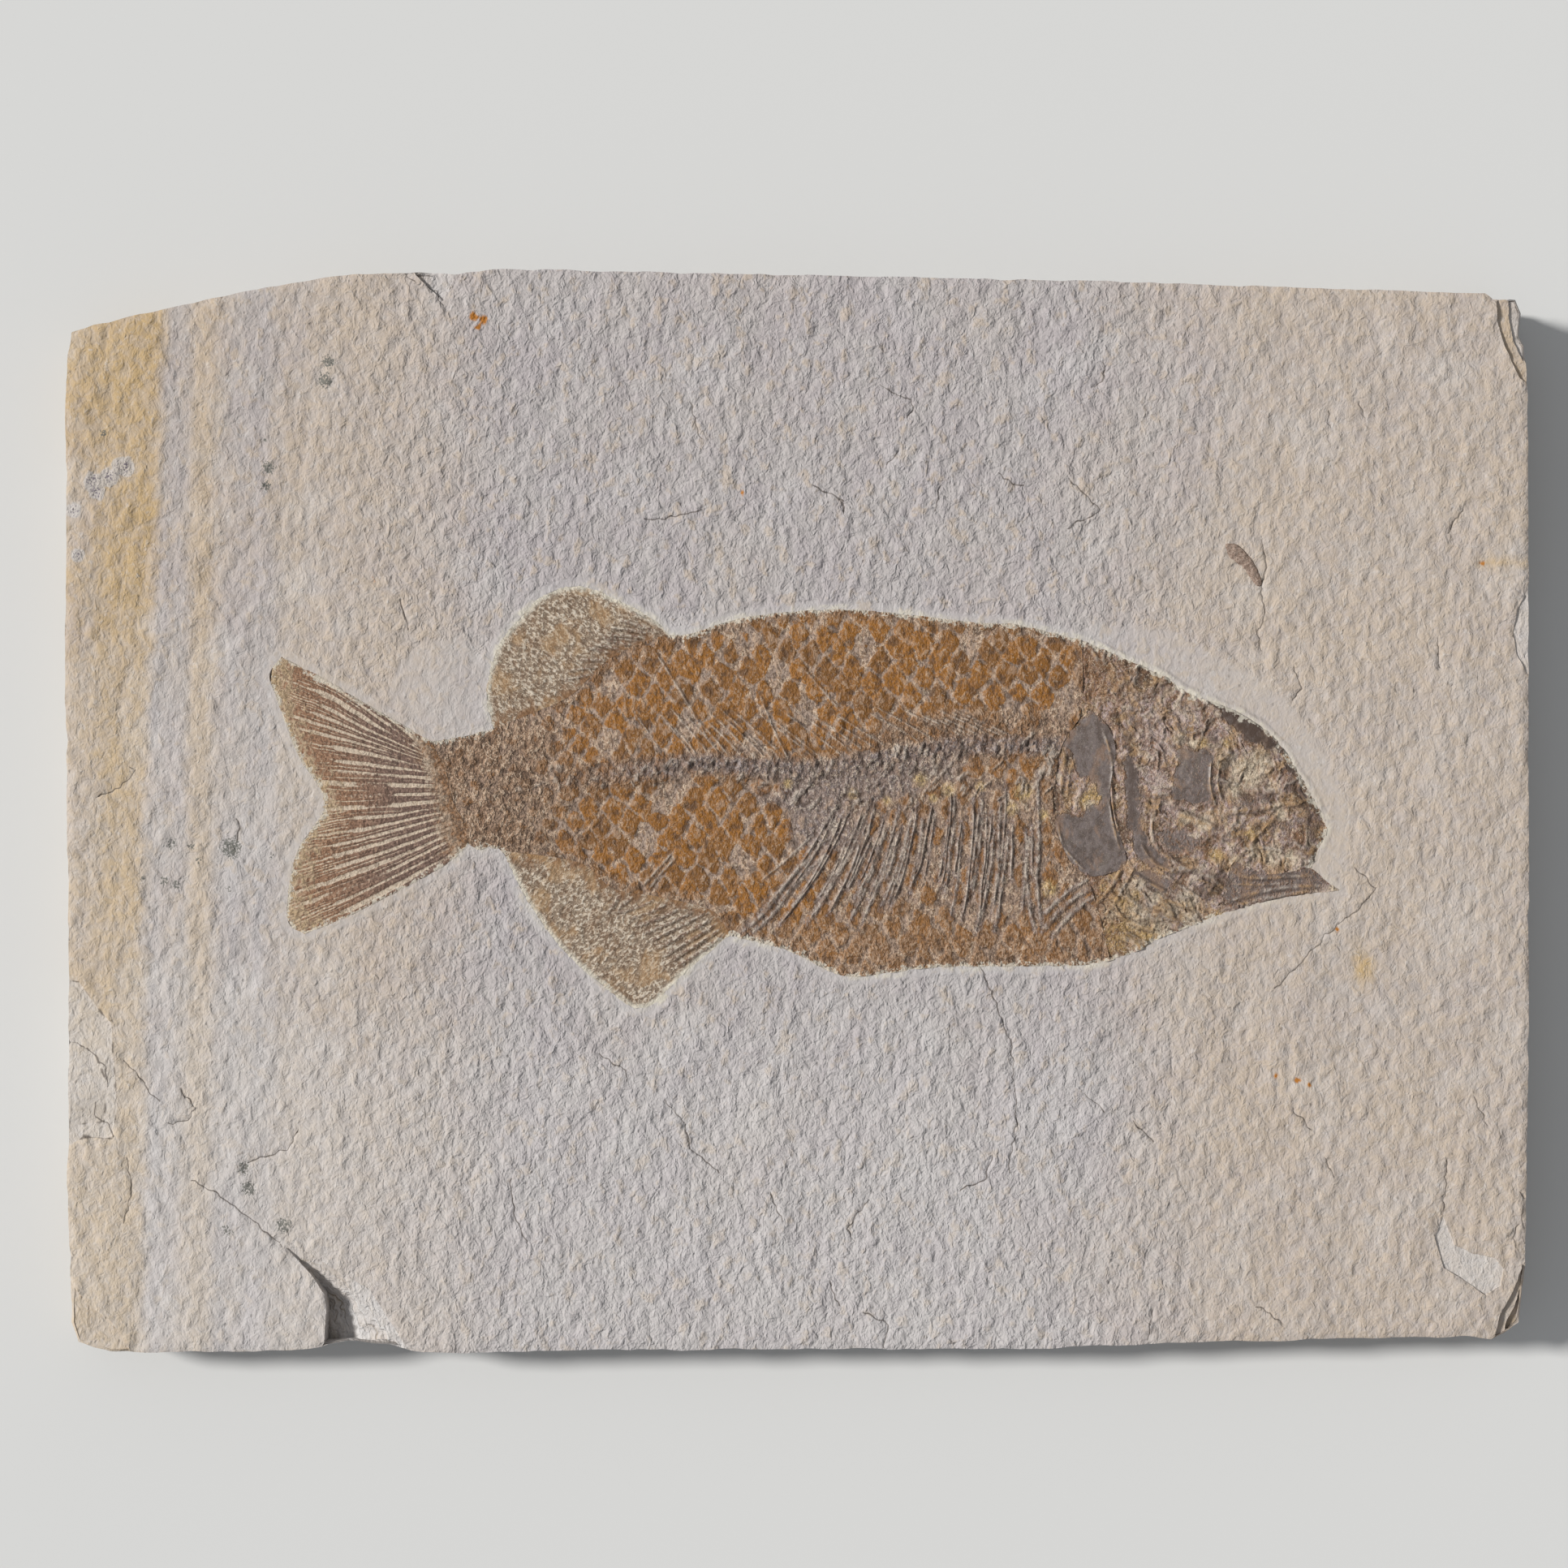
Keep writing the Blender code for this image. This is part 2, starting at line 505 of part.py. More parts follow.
def build_slab():
    """The limestone slab, with the fish's seat and every flake lost from its margin."""
    outline = loop_of(smooth(SLAB_ARCH, SIDE_SPACING), straight(SLAB_REST, SIDE_SPACING))

    def trough_width(x, y):
        over_head = clamped((x - CROWN[0][0]) / 18.0) * clamped((y - CROWN[-1][1]) / 14.0)
        return TROUGH_WIDTH + (TROUGH_WIDTH_HEAD - TROUGH_WIDTH) * over_head

    def face(x, y):
        z = SLAB_THICK + LUMP_HEIGHT * ripple(x, y, LUMP_LENGTH)
        from_side = reach(outline, x, y)
        z -= WORN_EDGE * max(0.0, 1.0 - from_side / 2.5)
        from_fish = 0.0 if holds(SEAT_LOOP, x, y) else reach(SEAT_LOOP, x, y)
        share = clamped(1.0 - from_fish / trough_width(x, y))
        return z + share * (SLAB_THICK - TROUGH_DEPTH - z)

    def notch_level(x, y, top):
        """Deep against the upright break on its left, running out to the right."""
        left = max(NOTCH_BREAK[0], NOTCH_TIP[0] + (y - NOTCH_TIP[1]) * NOTCH_SLANT)
        left = NOTCH_BREAK[0] if y < NOTCH_BREAK[1] else min(left, NOTCH_BREAK[0])
        right = NOTCH_MOUTH[0] + (y - NOTCH_MOUTH[1]) * NOTCH_SLANT
        across = clamped((x - left) / max(right - left, 2.0))
        deepening = max(clamped((NOTCH_TIP[1] + 2.0 - y) / 20.0), 0.15)
        return top - 0.35 - NOTCH_DEPTH * deepening * (1.0 - across) ** 0.8

    def chip_level(x, y, top):
        """Deep against its left side, running out to the right."""
        right, left = TOP_CHIP[4][0], TOP_CHIP[0][0]
        return top - 0.4 - TOP_CHIP_DEPTH * clamped((right - x) / (right - left))

    steps = [(loop_of(steps_outline + steps_outline[:1]), step_in(depth))
             for depth, steps_outline in CORNER_STEPS + LOW_CORNER_STEPS]
    flakes = [(LEFT_FLAKE, 0.9), (LEFT_FLAKE_DEEP, 1.7), (CORNER_FLAKE, 0.9),
              (RIGHT_FLAKE, 1.3), (CRESCENT_SCAR, 0.8)]
    patches = [(loop_of(flake + flake[:1]), step_in(depth)) for flake, depth in flakes]
    patches += steps
    patches.append((loop_of(NOTCH + NOTCH[:1]), notch_level))
    patches.append((loop_of(TOP_CHIP + TOP_CHIP[:1]), chip_level))
    seat_floor = SLAB_THICK - SEAT_DEPTH
    patches.append((SEAT_LOOP, lambda x, y, top: seat_floor))
    coprolite_floor = SLAB_THICK - COPROLITE_UNDERSIDE - GAP
    patches.append((grown(COPROLITE_LOOP, GAP), lambda x, y, top: coprolite_floor))

    ring = []
    for i, spot in enumerate(SEAT_LOOP):
        width = trough_width(*spot)
        ring.append(grown([SEAT_LOOP[i - 1], spot, SEAT_LOOP[(i + 1) % len(SEAT_LOOP)]],
                          width)[1])
    ring = [spot for spot in ring if reach(SEAT_LOOP, *spot) > 0.9 * trough_width(*spot)]
    ring = [spot for i, spot in enumerate(ring)
            if all(math.dist(spot, other) > 2.0 for other in ring[:i])]
    points = [spot for spot in ring if not holds(SEAT_LOOP, *spot)]
    borders = [patch for patch, _ in patches] + [outline]
    for spot in honeycomb(outline, FACE_SPACING, FACE_SPACING * 0.87, 2.0):
        clear = trough_width(*spot) + 2.5
        if not holds(outline, *spot) or holds(SEAT_LOOP, *spot):
            continue
        if reach(SEAT_LOOP, *spot) < clear or min(reach(b, *spot) for b in borders) < 2.5:
            continue
        points.append(spot)
    points += NOTCH_LEDGES

    def bedding(x, y, z):
        """Uneven layers of the split side: how far each course stands in."""
        return SIDE_INSET + SIDE_UNEVEN * ripple(x + 3.1 * z, y - 2.3 * z, 21.0)

    courses = [(z, bedding) for z in SIDE_COURSES]
    relief("limestone_slab", outline, face, 0.0, matte("limestone", (0.50, 0.44, 0.37), 0.9),
           patches=patches, points=points, courses=courses)


def on_body(outline, patches=(), crests=(), points=()):
    return dict(outline=grown(outline, -GAP / 2), top=body_top,
                floor=SLAB_THICK - FISH_UNDERSIDE, patches=patches, crests=crests,
                points=points)


def build_trunk():
    """The scaled flank, with the backbone and ribs that show through it."""
    loop = loop_of(curve(PEDUNCLE_TOP), curve(DORSAL_BASE), curve(BACK), curve(NECK_TOP),
                   curve(GILL_REAR), curve(NECK_LOW), curve(BELLY), curve(ANAL_BASE),
                   curve(PEDUNCLE_LOW), curve(TAIL_ROOT))
    inner = grown(loop, -GAP / 2)
    spine = smooth(BACKBONE, VERTEBRA_LENGTH / 2)
    crests = [[(x, y, VERTEBRA_LIFT if i % 2 else VERTEBRA_LIFT * 0.4)
               for i, (x, y) in enumerate(spine)]]
    points = []
    for i, (x, y) in enumerate(spine[:-1:2]):
        for side in (-1.0, 1.0):
            points.append((x, y + side * (1.8 + 0.3 * (i % 2)), -0.1))

    ribs = []
    for i in range(RIB_COUNT):
        share = i / (RIB_COUNT - 1)
        upper = blend(RIB_HEADS[0], RIB_HEADS[1], share)
        lower = blend(RIB_TIPS[0], RIB_TIPS[1], share ** 0.85)
        bow = RIB_BOW * (1.0 - share)
        rib = []
        for step in range(RIB_STEPS + 1):
            x, y = blend(upper, lower, step / RIB_STEPS)
            rib.append((x + bow * math.sin(math.pi * step / RIB_STEPS), y))
        ribs.append(rib)
    crests += [[(x, y, RIB_LIFT) for x, y in rib] for rib in ribs]
    for rib, ahead in zip(ribs, ribs[1:]):
        crests.append([(*blend(a, b, 0.5), -0.2) for a, b in zip(rib, ahead)])

    def on_ribs(x, y):
        return min(reach(rib, x, y, closed=False) for rib in ribs) < 3.2

    for x, y in honeycomb(loop, SCALE_LENGTH, SCALE_ROW, 0.5):
        if reach(spine, x, y, closed=False) < 3.4 or on_ribs(x, y):
            continue
        rear = SCALE_LENGTH * 0.22
        points.append((x - rear, y, SCALE_LIFT))
        points.append((x + SCALE_LENGTH / 2, y + SCALE_ROW / 6, 0.0))
        points.append((x, y + SCALE_ROW / 2, 0.0))
    tied = [spot for crest in crests for spot in crest]
    points = [p for p in inside_only(inner, points, 1.3)
              if all(math.dist(p[:2], spot[:2]) > 1.1 for spot in tied)]
    relief("trunk", finish=matte("scales", (0.33, 0.17, 0.06), 0.6),
           **on_body(loop, crests=crests, points=points))


def build_skull():
    """The skull's roof, orbit, cheek, upper jaw and the rays of the throat."""
    loop = loop_of(curve(CROWN), curve(JAW_TOP)[::-1], curve(THROAT), curve(NECK_LOW)[::-1],
                   curve(GILL_FRONT), curve(NECK_TOP)[::-1])
    patches = [(loop_of(bone + bone[:1]), step_in(-step)) for step, bone in SKULL_BONES.values()]
    patches.append((oval(ORBIT_CENTRE, ORBIT_RADII, 16), step_in(ORBIT_DEPTH)))
    crests = [[(x, y, THROAT_RAY_LIFT) for x, y in smooth(ray, 5.0)] for ray in THROAT_RAYS]
    borders = [patch for patch, _ in patches]
    points = []
    for x, y in honeycomb(loop, 3.9, 3.5, 0.9):
        lift = 0.45 * ripple(x, y, 4.0)
        near = min(reach(border, x, y) for border in borders)
        near = min([near] + [reach(ray, x, y, closed=False) for ray in THROAT_RAYS])
        if near > 1.3:
            plain = any(holds(border, x, y) for border in borders)
            points.append((x, y, 0.15 * lift if plain else lift))
    points = inside_only(grown(loop, -GAP / 2), points, 1.3)
    relief("skull", finish=matte("skull bone", (0.22, 0.17, 0.12), 0.6),
           **on_body(loop, patches=patches, crests=crests, points=points))


def build_gill_cover():
    """The big plate behind the cheek, with a rough hollow where it is worn through."""
    loop = loop_of(curve(GILL_REAR), curve(GILL_FRONT))
    hollow = oval(GILL_HOLLOW_CENTRE, GILL_HOLLOW_RADII, 10)
    points = [(x, y, 0.12 * ripple(x, y, 5.0)) for x, y in honeycomb(loop, 4.4, 3.8, 0.4)
              if reach(hollow, x, y) > 1.2
              and reach([spot[:2] for spot in GILL_RIDGE], x, y, closed=False) > 1.4]
    points = inside_only(grown(loop, -GAP / 2), points, 1.2)
    relief("gill_cover", finish=matte("gill plate", (0.13, 0.11, 0.10), 0.5),
           **on_body(loop, patches=[(hollow, step_in(GILL_HOLLOW_DEPTH))],
                     crests=[GILL_RIDGE], points=points))


def build_lower_jaw():
    """The lower jaw, a wedge with a ridge along it and its tip at the snout."""
    loop = loop_of(JAW_FRONT, curve(JAW_UNDER), curve(JAW_TOP))
    relief("lower_jaw", finish=matte("jaw bone", (0.14, 0.12, 0.11), 0.5),
           **on_body(loop, crests=[JAW_RIDGE], points=JAW_HOLLOWS))


def fan(base, margin, count, lead, stem, reach_out):
    """Rays of a fin, evenly spread: (start, end) for each, from its base to its margin.

    lead is the share of the margin that is the fin's leading edge, where no ray ends; stem
    and reach_out are the shares of the way across at which a ray starts and stops.
    """
    rays = []
    for i in range(count):
        share = (i + 0.5) / count
        start, end = at_share(base, share), at_share(margin, lead + (1.0 - lead) * share)
        rays.append((blend(start, end, stem), blend(start, end, reach_out)))
    return rays


def at_share(path, share):
    """The point a given share of the way along a path."""
    lengths = [math.dist(a, b) for a, b in zip(path, path[1:])]
    left = share * sum(lengths)
    for a, b, length in zip(path, path[1:], lengths):
        if left <= length:
            return blend(a, b, left / length)
        left -= length
    return path[-1]


def build_fin(name, outline, rays, finish):
    """A fin's membrane with its rays as ridges and a groove between each two."""
    inner = grown(loop_of(*outline), -GAP / 2)
    crests = []
    for i, (start, end) in enumerate(rays):
        crests.append([(*blend(start, end, share), RAY_LIFT) for share in RAY_SHARES])
        if i:
            groove = blend(rays[i - 1][0], start, 0.5), blend(rays[i - 1][1], end, 0.5)
            crests.append([(*blend(*groove, share), 0.0) for share in RAY_SHARES])
    relief(name, inner, fin_top, SLAB_THICK - FISH_UNDERSIDE, finish, crests=crests)


def build_coprolite():
    """A small segmented sliver, rounded over, beside the fish's forehead."""
    relief("coprolite", COPROLITE_LOOP, lambda x, y: SLAB_THICK + 0.1,
           SLAB_THICK - COPROLITE_UNDERSIDE, matte("coprolite", (0.20, 0.15, 0.11), 0.8),
           points=COPROLITE_LUMPS)


for old in list(bpy.data.objects):
    bpy.data.objects.remove(old, do_unlink=True)

build_slab()
build_trunk()
build_skull()
build_gill_cover()
build_lower_jaw()
build_fin("tail_fin", [curve(TAIL_ROOT)[::-1], curve(TAIL_LOWER), curve(TAIL_END),
                       curve(TAIL_UPPER)],
          fan(curve(TAIL_ROOT), curve(TAIL_END), TAIL_RAYS, 0.0, 0.06, 0.95),
          matte("tail rays", (0.30, 0.20, 0.13), 0.7))
build_fin("dorsal_fin", [curve(DORSAL_EDGE), curve(DORSAL_BASE)[::-1]],
          fan(curve(DORSAL_BASE)[::-1], curve(DORSAL_EDGE)[::-1], DORSAL_RAYS, 0.24, 0.12, 0.86),
          matte("dorsal fin membrane", (0.42, 0.34, 0.22), 0.8))
build_fin("anal_fin", [curve(ANAL_EDGE), curve(ANAL_BASE)[::-1]],
          fan(curve(ANAL_BASE), curve(ANAL_EDGE), ANAL_RAYS, 0.34, 0.1, 0.86),
          matte("anal fin membrane", (0.44, 0.35, 0.22), 0.8))
build_coprolite()
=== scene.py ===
import math

import bpy
import numpy as np
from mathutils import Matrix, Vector
from mathutils.geometry import delaunay_2d_cdt


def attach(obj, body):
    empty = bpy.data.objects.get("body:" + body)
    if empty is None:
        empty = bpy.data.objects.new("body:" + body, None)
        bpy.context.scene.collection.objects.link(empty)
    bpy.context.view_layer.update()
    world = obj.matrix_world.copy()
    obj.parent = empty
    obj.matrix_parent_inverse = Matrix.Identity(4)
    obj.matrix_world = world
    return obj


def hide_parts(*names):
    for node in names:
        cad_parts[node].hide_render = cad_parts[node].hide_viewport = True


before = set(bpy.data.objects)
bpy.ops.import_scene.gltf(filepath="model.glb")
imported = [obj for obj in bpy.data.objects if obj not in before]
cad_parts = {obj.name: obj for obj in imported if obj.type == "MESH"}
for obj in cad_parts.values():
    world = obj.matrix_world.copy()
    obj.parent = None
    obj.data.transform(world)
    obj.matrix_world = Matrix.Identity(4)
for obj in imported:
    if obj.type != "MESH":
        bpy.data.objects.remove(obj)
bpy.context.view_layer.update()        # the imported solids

# ---- The bench it is shown on ------------------------------------------------------------
# A pale painted board. One broad lamp stands to the left and a little towards the back, so
# that it rakes the relief, and the room fills the shadows evenly. The camera hangs straight
# above the slab on a copy stand.
MM = 0.001
BENCH_SIZE = 16.0
BENCH_GREY = 0.62
LAMP_BEARING = math.radians(166.0)     # where the light comes from, anticlockwise from +X
LAMP_HEIGHT = math.radians(37.0)       # and how high it stands
LAMP_SPREAD = math.radians(9.0)
LAMP_STRENGTH = 3.9
LAMP_COLOUR = (1.0, 0.985, 0.96)
ROOM_LIGHT = 0.36
ROOM_COLOUR = (0.93, 0.96, 1.0, 1.0)
CAMERA_LENS = 85.0
CAMERA_SENSOR = 36.0
FRAME_WIDTH = 386.4                    # how much of the face's level the camera takes in
CAMERA_AIM = (-3.3, 6.6)
FACE_LEVEL = 18.0                      # the slab's face above the bench


def srgb(red, green, blue):
    """A colour given in parts of 255, as the shaders want it."""
    parts = [part / 255 for part in (red, green, blue)]
    linear = [p / 12.92 if p <= 0.04045 else ((p + 0.055) / 1.055) ** 2.4 for p in parts]
    return (*linear, 1.0)


def put(tree, kind, sockets=None, **settings):
    """Adds a node, sets it up, and feeds its sockets with values or with other outputs."""
    node = tree.nodes.new(kind)
    for key, value in settings.items():
        setattr(node, key, value)
    for socket, value in (sockets or {}).items():
        if isinstance(value, bpy.types.NodeSocket):
            tree.links.new(value, node.inputs[socket])
        else:
            node.inputs[socket].default_value = value
    return node


def new_finish(name):
    """An empty material with its shader and the shader's tree."""
    finish = bpy.data.materials.new(name)
    finish.use_nodes = True
    tree = finish.node_tree
    return finish, tree, tree.nodes["Principled BSDF"]


def built(name, points, faces):
    """A mesh object in the scene from points in millimetres."""
    mesh = bpy.data.meshes.new(name)
    mesh.from_pydata(np.asarray(points, float) * MM, [], faces)
    piece = bpy.data.objects.new(name, mesh)
    bpy.context.scene.collection.objects.link(piece)
    return piece


half = BENCH_SIZE / MM / 2
bench = built("bench", [(-half, -half, 0.0), (half, -half, 0.0), (half, half, 0.0),
                        (-half, half, 0.0)], [(0, 1, 2, 3)])
paint, tree, shader = new_finish("bench paint")
shader.inputs["Base Color"].default_value = (BENCH_GREY, BENCH_GREY, BENCH_GREY * 0.985, 1.0)
shader.inputs["Roughness"].default_value = 0.9
bench.data.materials.append(paint)

lamp = bpy.data.objects.new("lamp", bpy.data.lights.new("lamp", "SUN"))
lamp.data.energy = LAMP_STRENGTH
lamp.data.angle = LAMP_SPREAD
lamp.data.color = LAMP_COLOUR
reach_up = Vector((math.cos(LAMP_BEARING) * math.cos(LAMP_HEIGHT),
                   math.sin(LAMP_BEARING) * math.cos(LAMP_HEIGHT), math.sin(LAMP_HEIGHT)))
lamp.rotation_euler = reach_up.to_track_quat("Z", "Y").to_euler()
lamp.location = reach_up
bpy.context.scene.collection.objects.link(lamp)

room = bpy.data.worlds.new("room")
room.use_nodes = True
room.node_tree.nodes["Background"].inputs["Color"].default_value = ROOM_COLOUR
room.node_tree.nodes["Background"].inputs["Strength"].default_value = ROOM_LIGHT
bpy.context.scene.world = room

camera = bpy.data.objects.new("camera", bpy.data.cameras.new("camera"))
camera.data.lens = CAMERA_LENS
camera.data.sensor_width = CAMERA_SENSOR
height_above = FRAME_WIDTH * CAMERA_LENS / CAMERA_SENSOR
camera.location = Vector((*CAMERA_AIM, FACE_LEVEL + height_above)) * MM
camera.data.clip_start = 0.05
bpy.context.scene.collection.objects.link(camera)
bpy.context.scene.camera = camera
bpy.context.scene.view_settings.view_transform = "Standard"

# ---- The limestone slab ------------------------------------------------------------------
# One piece of fine laminated lake limestone, split along its bedding and trimmed by hand. Its
# face has the pebbly grain of the split, flakes are lost from its margin, and round the fish
# the grain has been scraped smooth with a needle.
SLAB_ARCH = [(-179.3, 117.4), (-175.5, 119.4), (-144.5, 126.4), (-120.5, 131.0),
             (-108.5, 132.4), (-94.5, 132.8)]
SLAB_REST = [(-94.5, 132.8), (-84.5, 132.6), (-72.5, 133.8), (-48.5, 133.2), (71.5, 130.8),
             (169.5, 127.6), (171.5, 126.2), (177.1, 126.0), (178.7, 122.8), (178.5, 117.2),
             (179.7, 114.8), (180.3, 99.8), (180.5, -40.2), (179.7, -111.8), (178.3, -126.4),
             (175.7, -128.6), (170.9, -130.2), (166.7, -129.6), (83.5, -131.6),
             (59.5, -132.8), (-48.5, -133.0), (-84.5, -133.8), (-95.3, -133.2),
             (-100.5, -132.0), (-112.3, -131.6), (-117.2, -132.6), (-132.5, -133.4),
             (-169.5, -133.6), (-177.5, -131.2), (-179.1, -126.2), (-180.1, -92.2),
             (-179.7, -62.2), (-180.5, 39.8), (-180.5, 99.8), (-180.1, 112.6),
             (-179.3, 117.4)]

# The fish's outline, as curves that meet end to end, clockwise from the tail's root
TAIL_ROOT = [(-81.1, -8.4), (-82.1, -3.2), (-85.1, 2.8), (-86.7, 9.8), (-90.3, 17.2)]
PEDUNCLE_TOP = [(-90.3, 17.2), (-83.5, 18.2), (-75.1, 20.2)]
DORSAL_BASE = [(-75.1, 20.2), (-66.1, 23.8), (-55.9, 28.4), (-46.9, 37.0), (-37.5, 41.8),
               (-31.5, 43.4)]
DORSAL_EDGE = [(-75.1, 20.2), (-76.7, 29.4), (-73.9, 40.4), (-69.5, 46.4), (-62.5, 53.2),
               (-53.5, 55.4), (-43.3, 51.6), (-35.5, 47.2), (-31.5, 43.4)]
BACK = [(-31.5, 43.4), (-25.7, 43.8), (-12.3, 47.8), (12.7, 49.6), (44.1, 46.4), (53.5, 46.0),
        (69.9, 42.2)]
CROWN = [(69.9, 42.2), (89.5, 33.6), (96.9, 28.8), (107.7, 24.6), (117.3, 18.2),
         (123.7, 9.0), (130.3, -3.4), (128.9, -9.0), (126.5, -14.0)]
JAW_FRONT = [(126.5, -14.0), (129.7, -16.6), (133.5, -19.6), (129.1, -20.2)]
JAW_UNDER = [(129.1, -20.2), (118.5, -21.6), (106.7, -24.8), (102.9, -26.2)]
THROAT = [(102.9, -26.2), (89.5, -31.4), (84.7, -34.2), (77.1, -37.0)]
BELLY = [(77.1, -37.0), (66.9, -38.2), (35.1, -38.6), (12.7, -40.8), (1.1, -36.0),
         (-5.1, -33.6), (-16.7, -30.8)]
ANAL_EDGE = [(-16.7, -30.8), (-22.7, -35.8), (-31.1, -43.2), (-35.1, -47.6), (-38.9, -48.6),
             (-42.9, -47.2), (-57.5, -34.8), (-67.1, -21.4), (-72.7, -10.4), (-76.1, -9.0)]
ANAL_BASE = [(-16.7, -30.8), (-21.1, -24.6), (-34.1, -21.2), (-45.3, -19.2), (-53.7, -12.8),
             (-71.1, -10.0), (-76.1, -9.0)]
PEDUNCLE_LOW = [(-76.1, -9.0), (-78.7, -9.6), (-81.1, -8.4)]
TAIL_LOWER = [(-81.1, -8.4), (-87.5, -13.8), (-107.9, -24.8), (-121.5, -30.4)]
TAIL_END = [(-121.5, -30.4), (-125.9, -26.4), (-123.5, -10.4), (-117.3, -1.0), (-117.3, 4.6),
            (-123.1, 13.6), (-128.3, 27.4), (-130.3, 33.6), (-127.1, 38.0)]
TAIL_UPPER = [(-127.1, 38.0), (-116.5, 32.2), (-90.3, 17.2)]
COPROLITE = [(105.3, 65.8), (108.3, 65.6), (112.1, 61.8), (114.5, 56.6), (113.3, 55.4),
             (110.1, 59.4), (105.9, 63.0), (105.3, 65.8)]

# Flakes lost from the margin: outlines that may run out past the slab's own, and depths
NOTCH = [(-129.5, -104.2), (-123.9, -109.8), (-119.5, -114.6), (-116.5, -119.2),
         (-116.1, -123.0), (-116.9, -136.0), (-94.0, -136.0), (-99.9, -126.6),
         (-105.5, -117.8), (-111.5, -114.6), (-123.5, -107.2)]
NOTCH_DEPTH = 7.5
NOTCH_TIP = (-129.5, -104.2)
NOTCH_BREAK = (-116.5, -119.2)
NOTCH_MOUTH = (-95.0, -134.0)
NOTCH_SLANT = -0.86
TOP_CHIP = [(-94.5, 136.0), (-93.9, 132.0), (-90.9, 129.0), (-87.3, 125.8), (-84.7, 130.8),
            (-80.5, 136.0)]
TOP_CHIP_DEPTH = 1.2
FLAKES = [
    (0.5, [(-184.0, -41.2), (-177.1, -42.2), (-171.5, -50.0), (-169.1, -52.2),
           (-167.7, -73.0), (-168.9, -80.8), (-175.9, -80.4), (-184.0, -85.4)]),
    (0.7, [(-184.0, -56.4), (-177.7, -57.2), (-172.9, -60.4), (-170.2, -67.6),
           (-171.0, -76.6), (-178.0, -77.4), (-184.0, -78.4)]),
    (0.9, [(-184.0, -116.2), (-178.9, -116.6), (-174.1, -122.4), (-169.7, -125.2),
           (-165.0, -131.0), (-164.0, -137.0), (-184.0, -137.0)]),
    (0.4, [(184.0, 54.6), (179.6, 53.4), (177.4, 49.6), (176.5, 44.0), (177.3, 38.6),
           (179.6, 34.0), (184.0, 33.0)]),
    (0.4, [(159.1, -99.8), (157.1, -105.4), (159.3, -112.6), (164.3, -115.6),
           (169.5, -119.4), (173.3, -117.0), (174.1, -113.0), (172.0, -110.2),
           (166.7, -109.2), (161.9, -107.0)]),
    (0.8, [(172.1, 131.0), (172.5, 120.8), (174.3, 114.6), (177.9, 106.8), (184.0, 102.0),
           (184.0, 131.0)]),
    (1.4, [(175.3, 131.0), (175.5, 121.4), (176.6, 115.8), (178.9, 111.0), (184.0, 108.6),
           (184.0, 131.0)]),
    (1.2, [(184.0, -109.8), (178.6, -112.8), (176.5, -118.4), (173.1, -124.6),
           (171.0, -134.0), (184.0, -134.0)]),
    (2.4, [(184.0, -115.0), (178.4, -117.6), (177.0, -122.4), (174.9, -126.2),
           (173.6, -134.0), (184.0, -134.0)]),
]

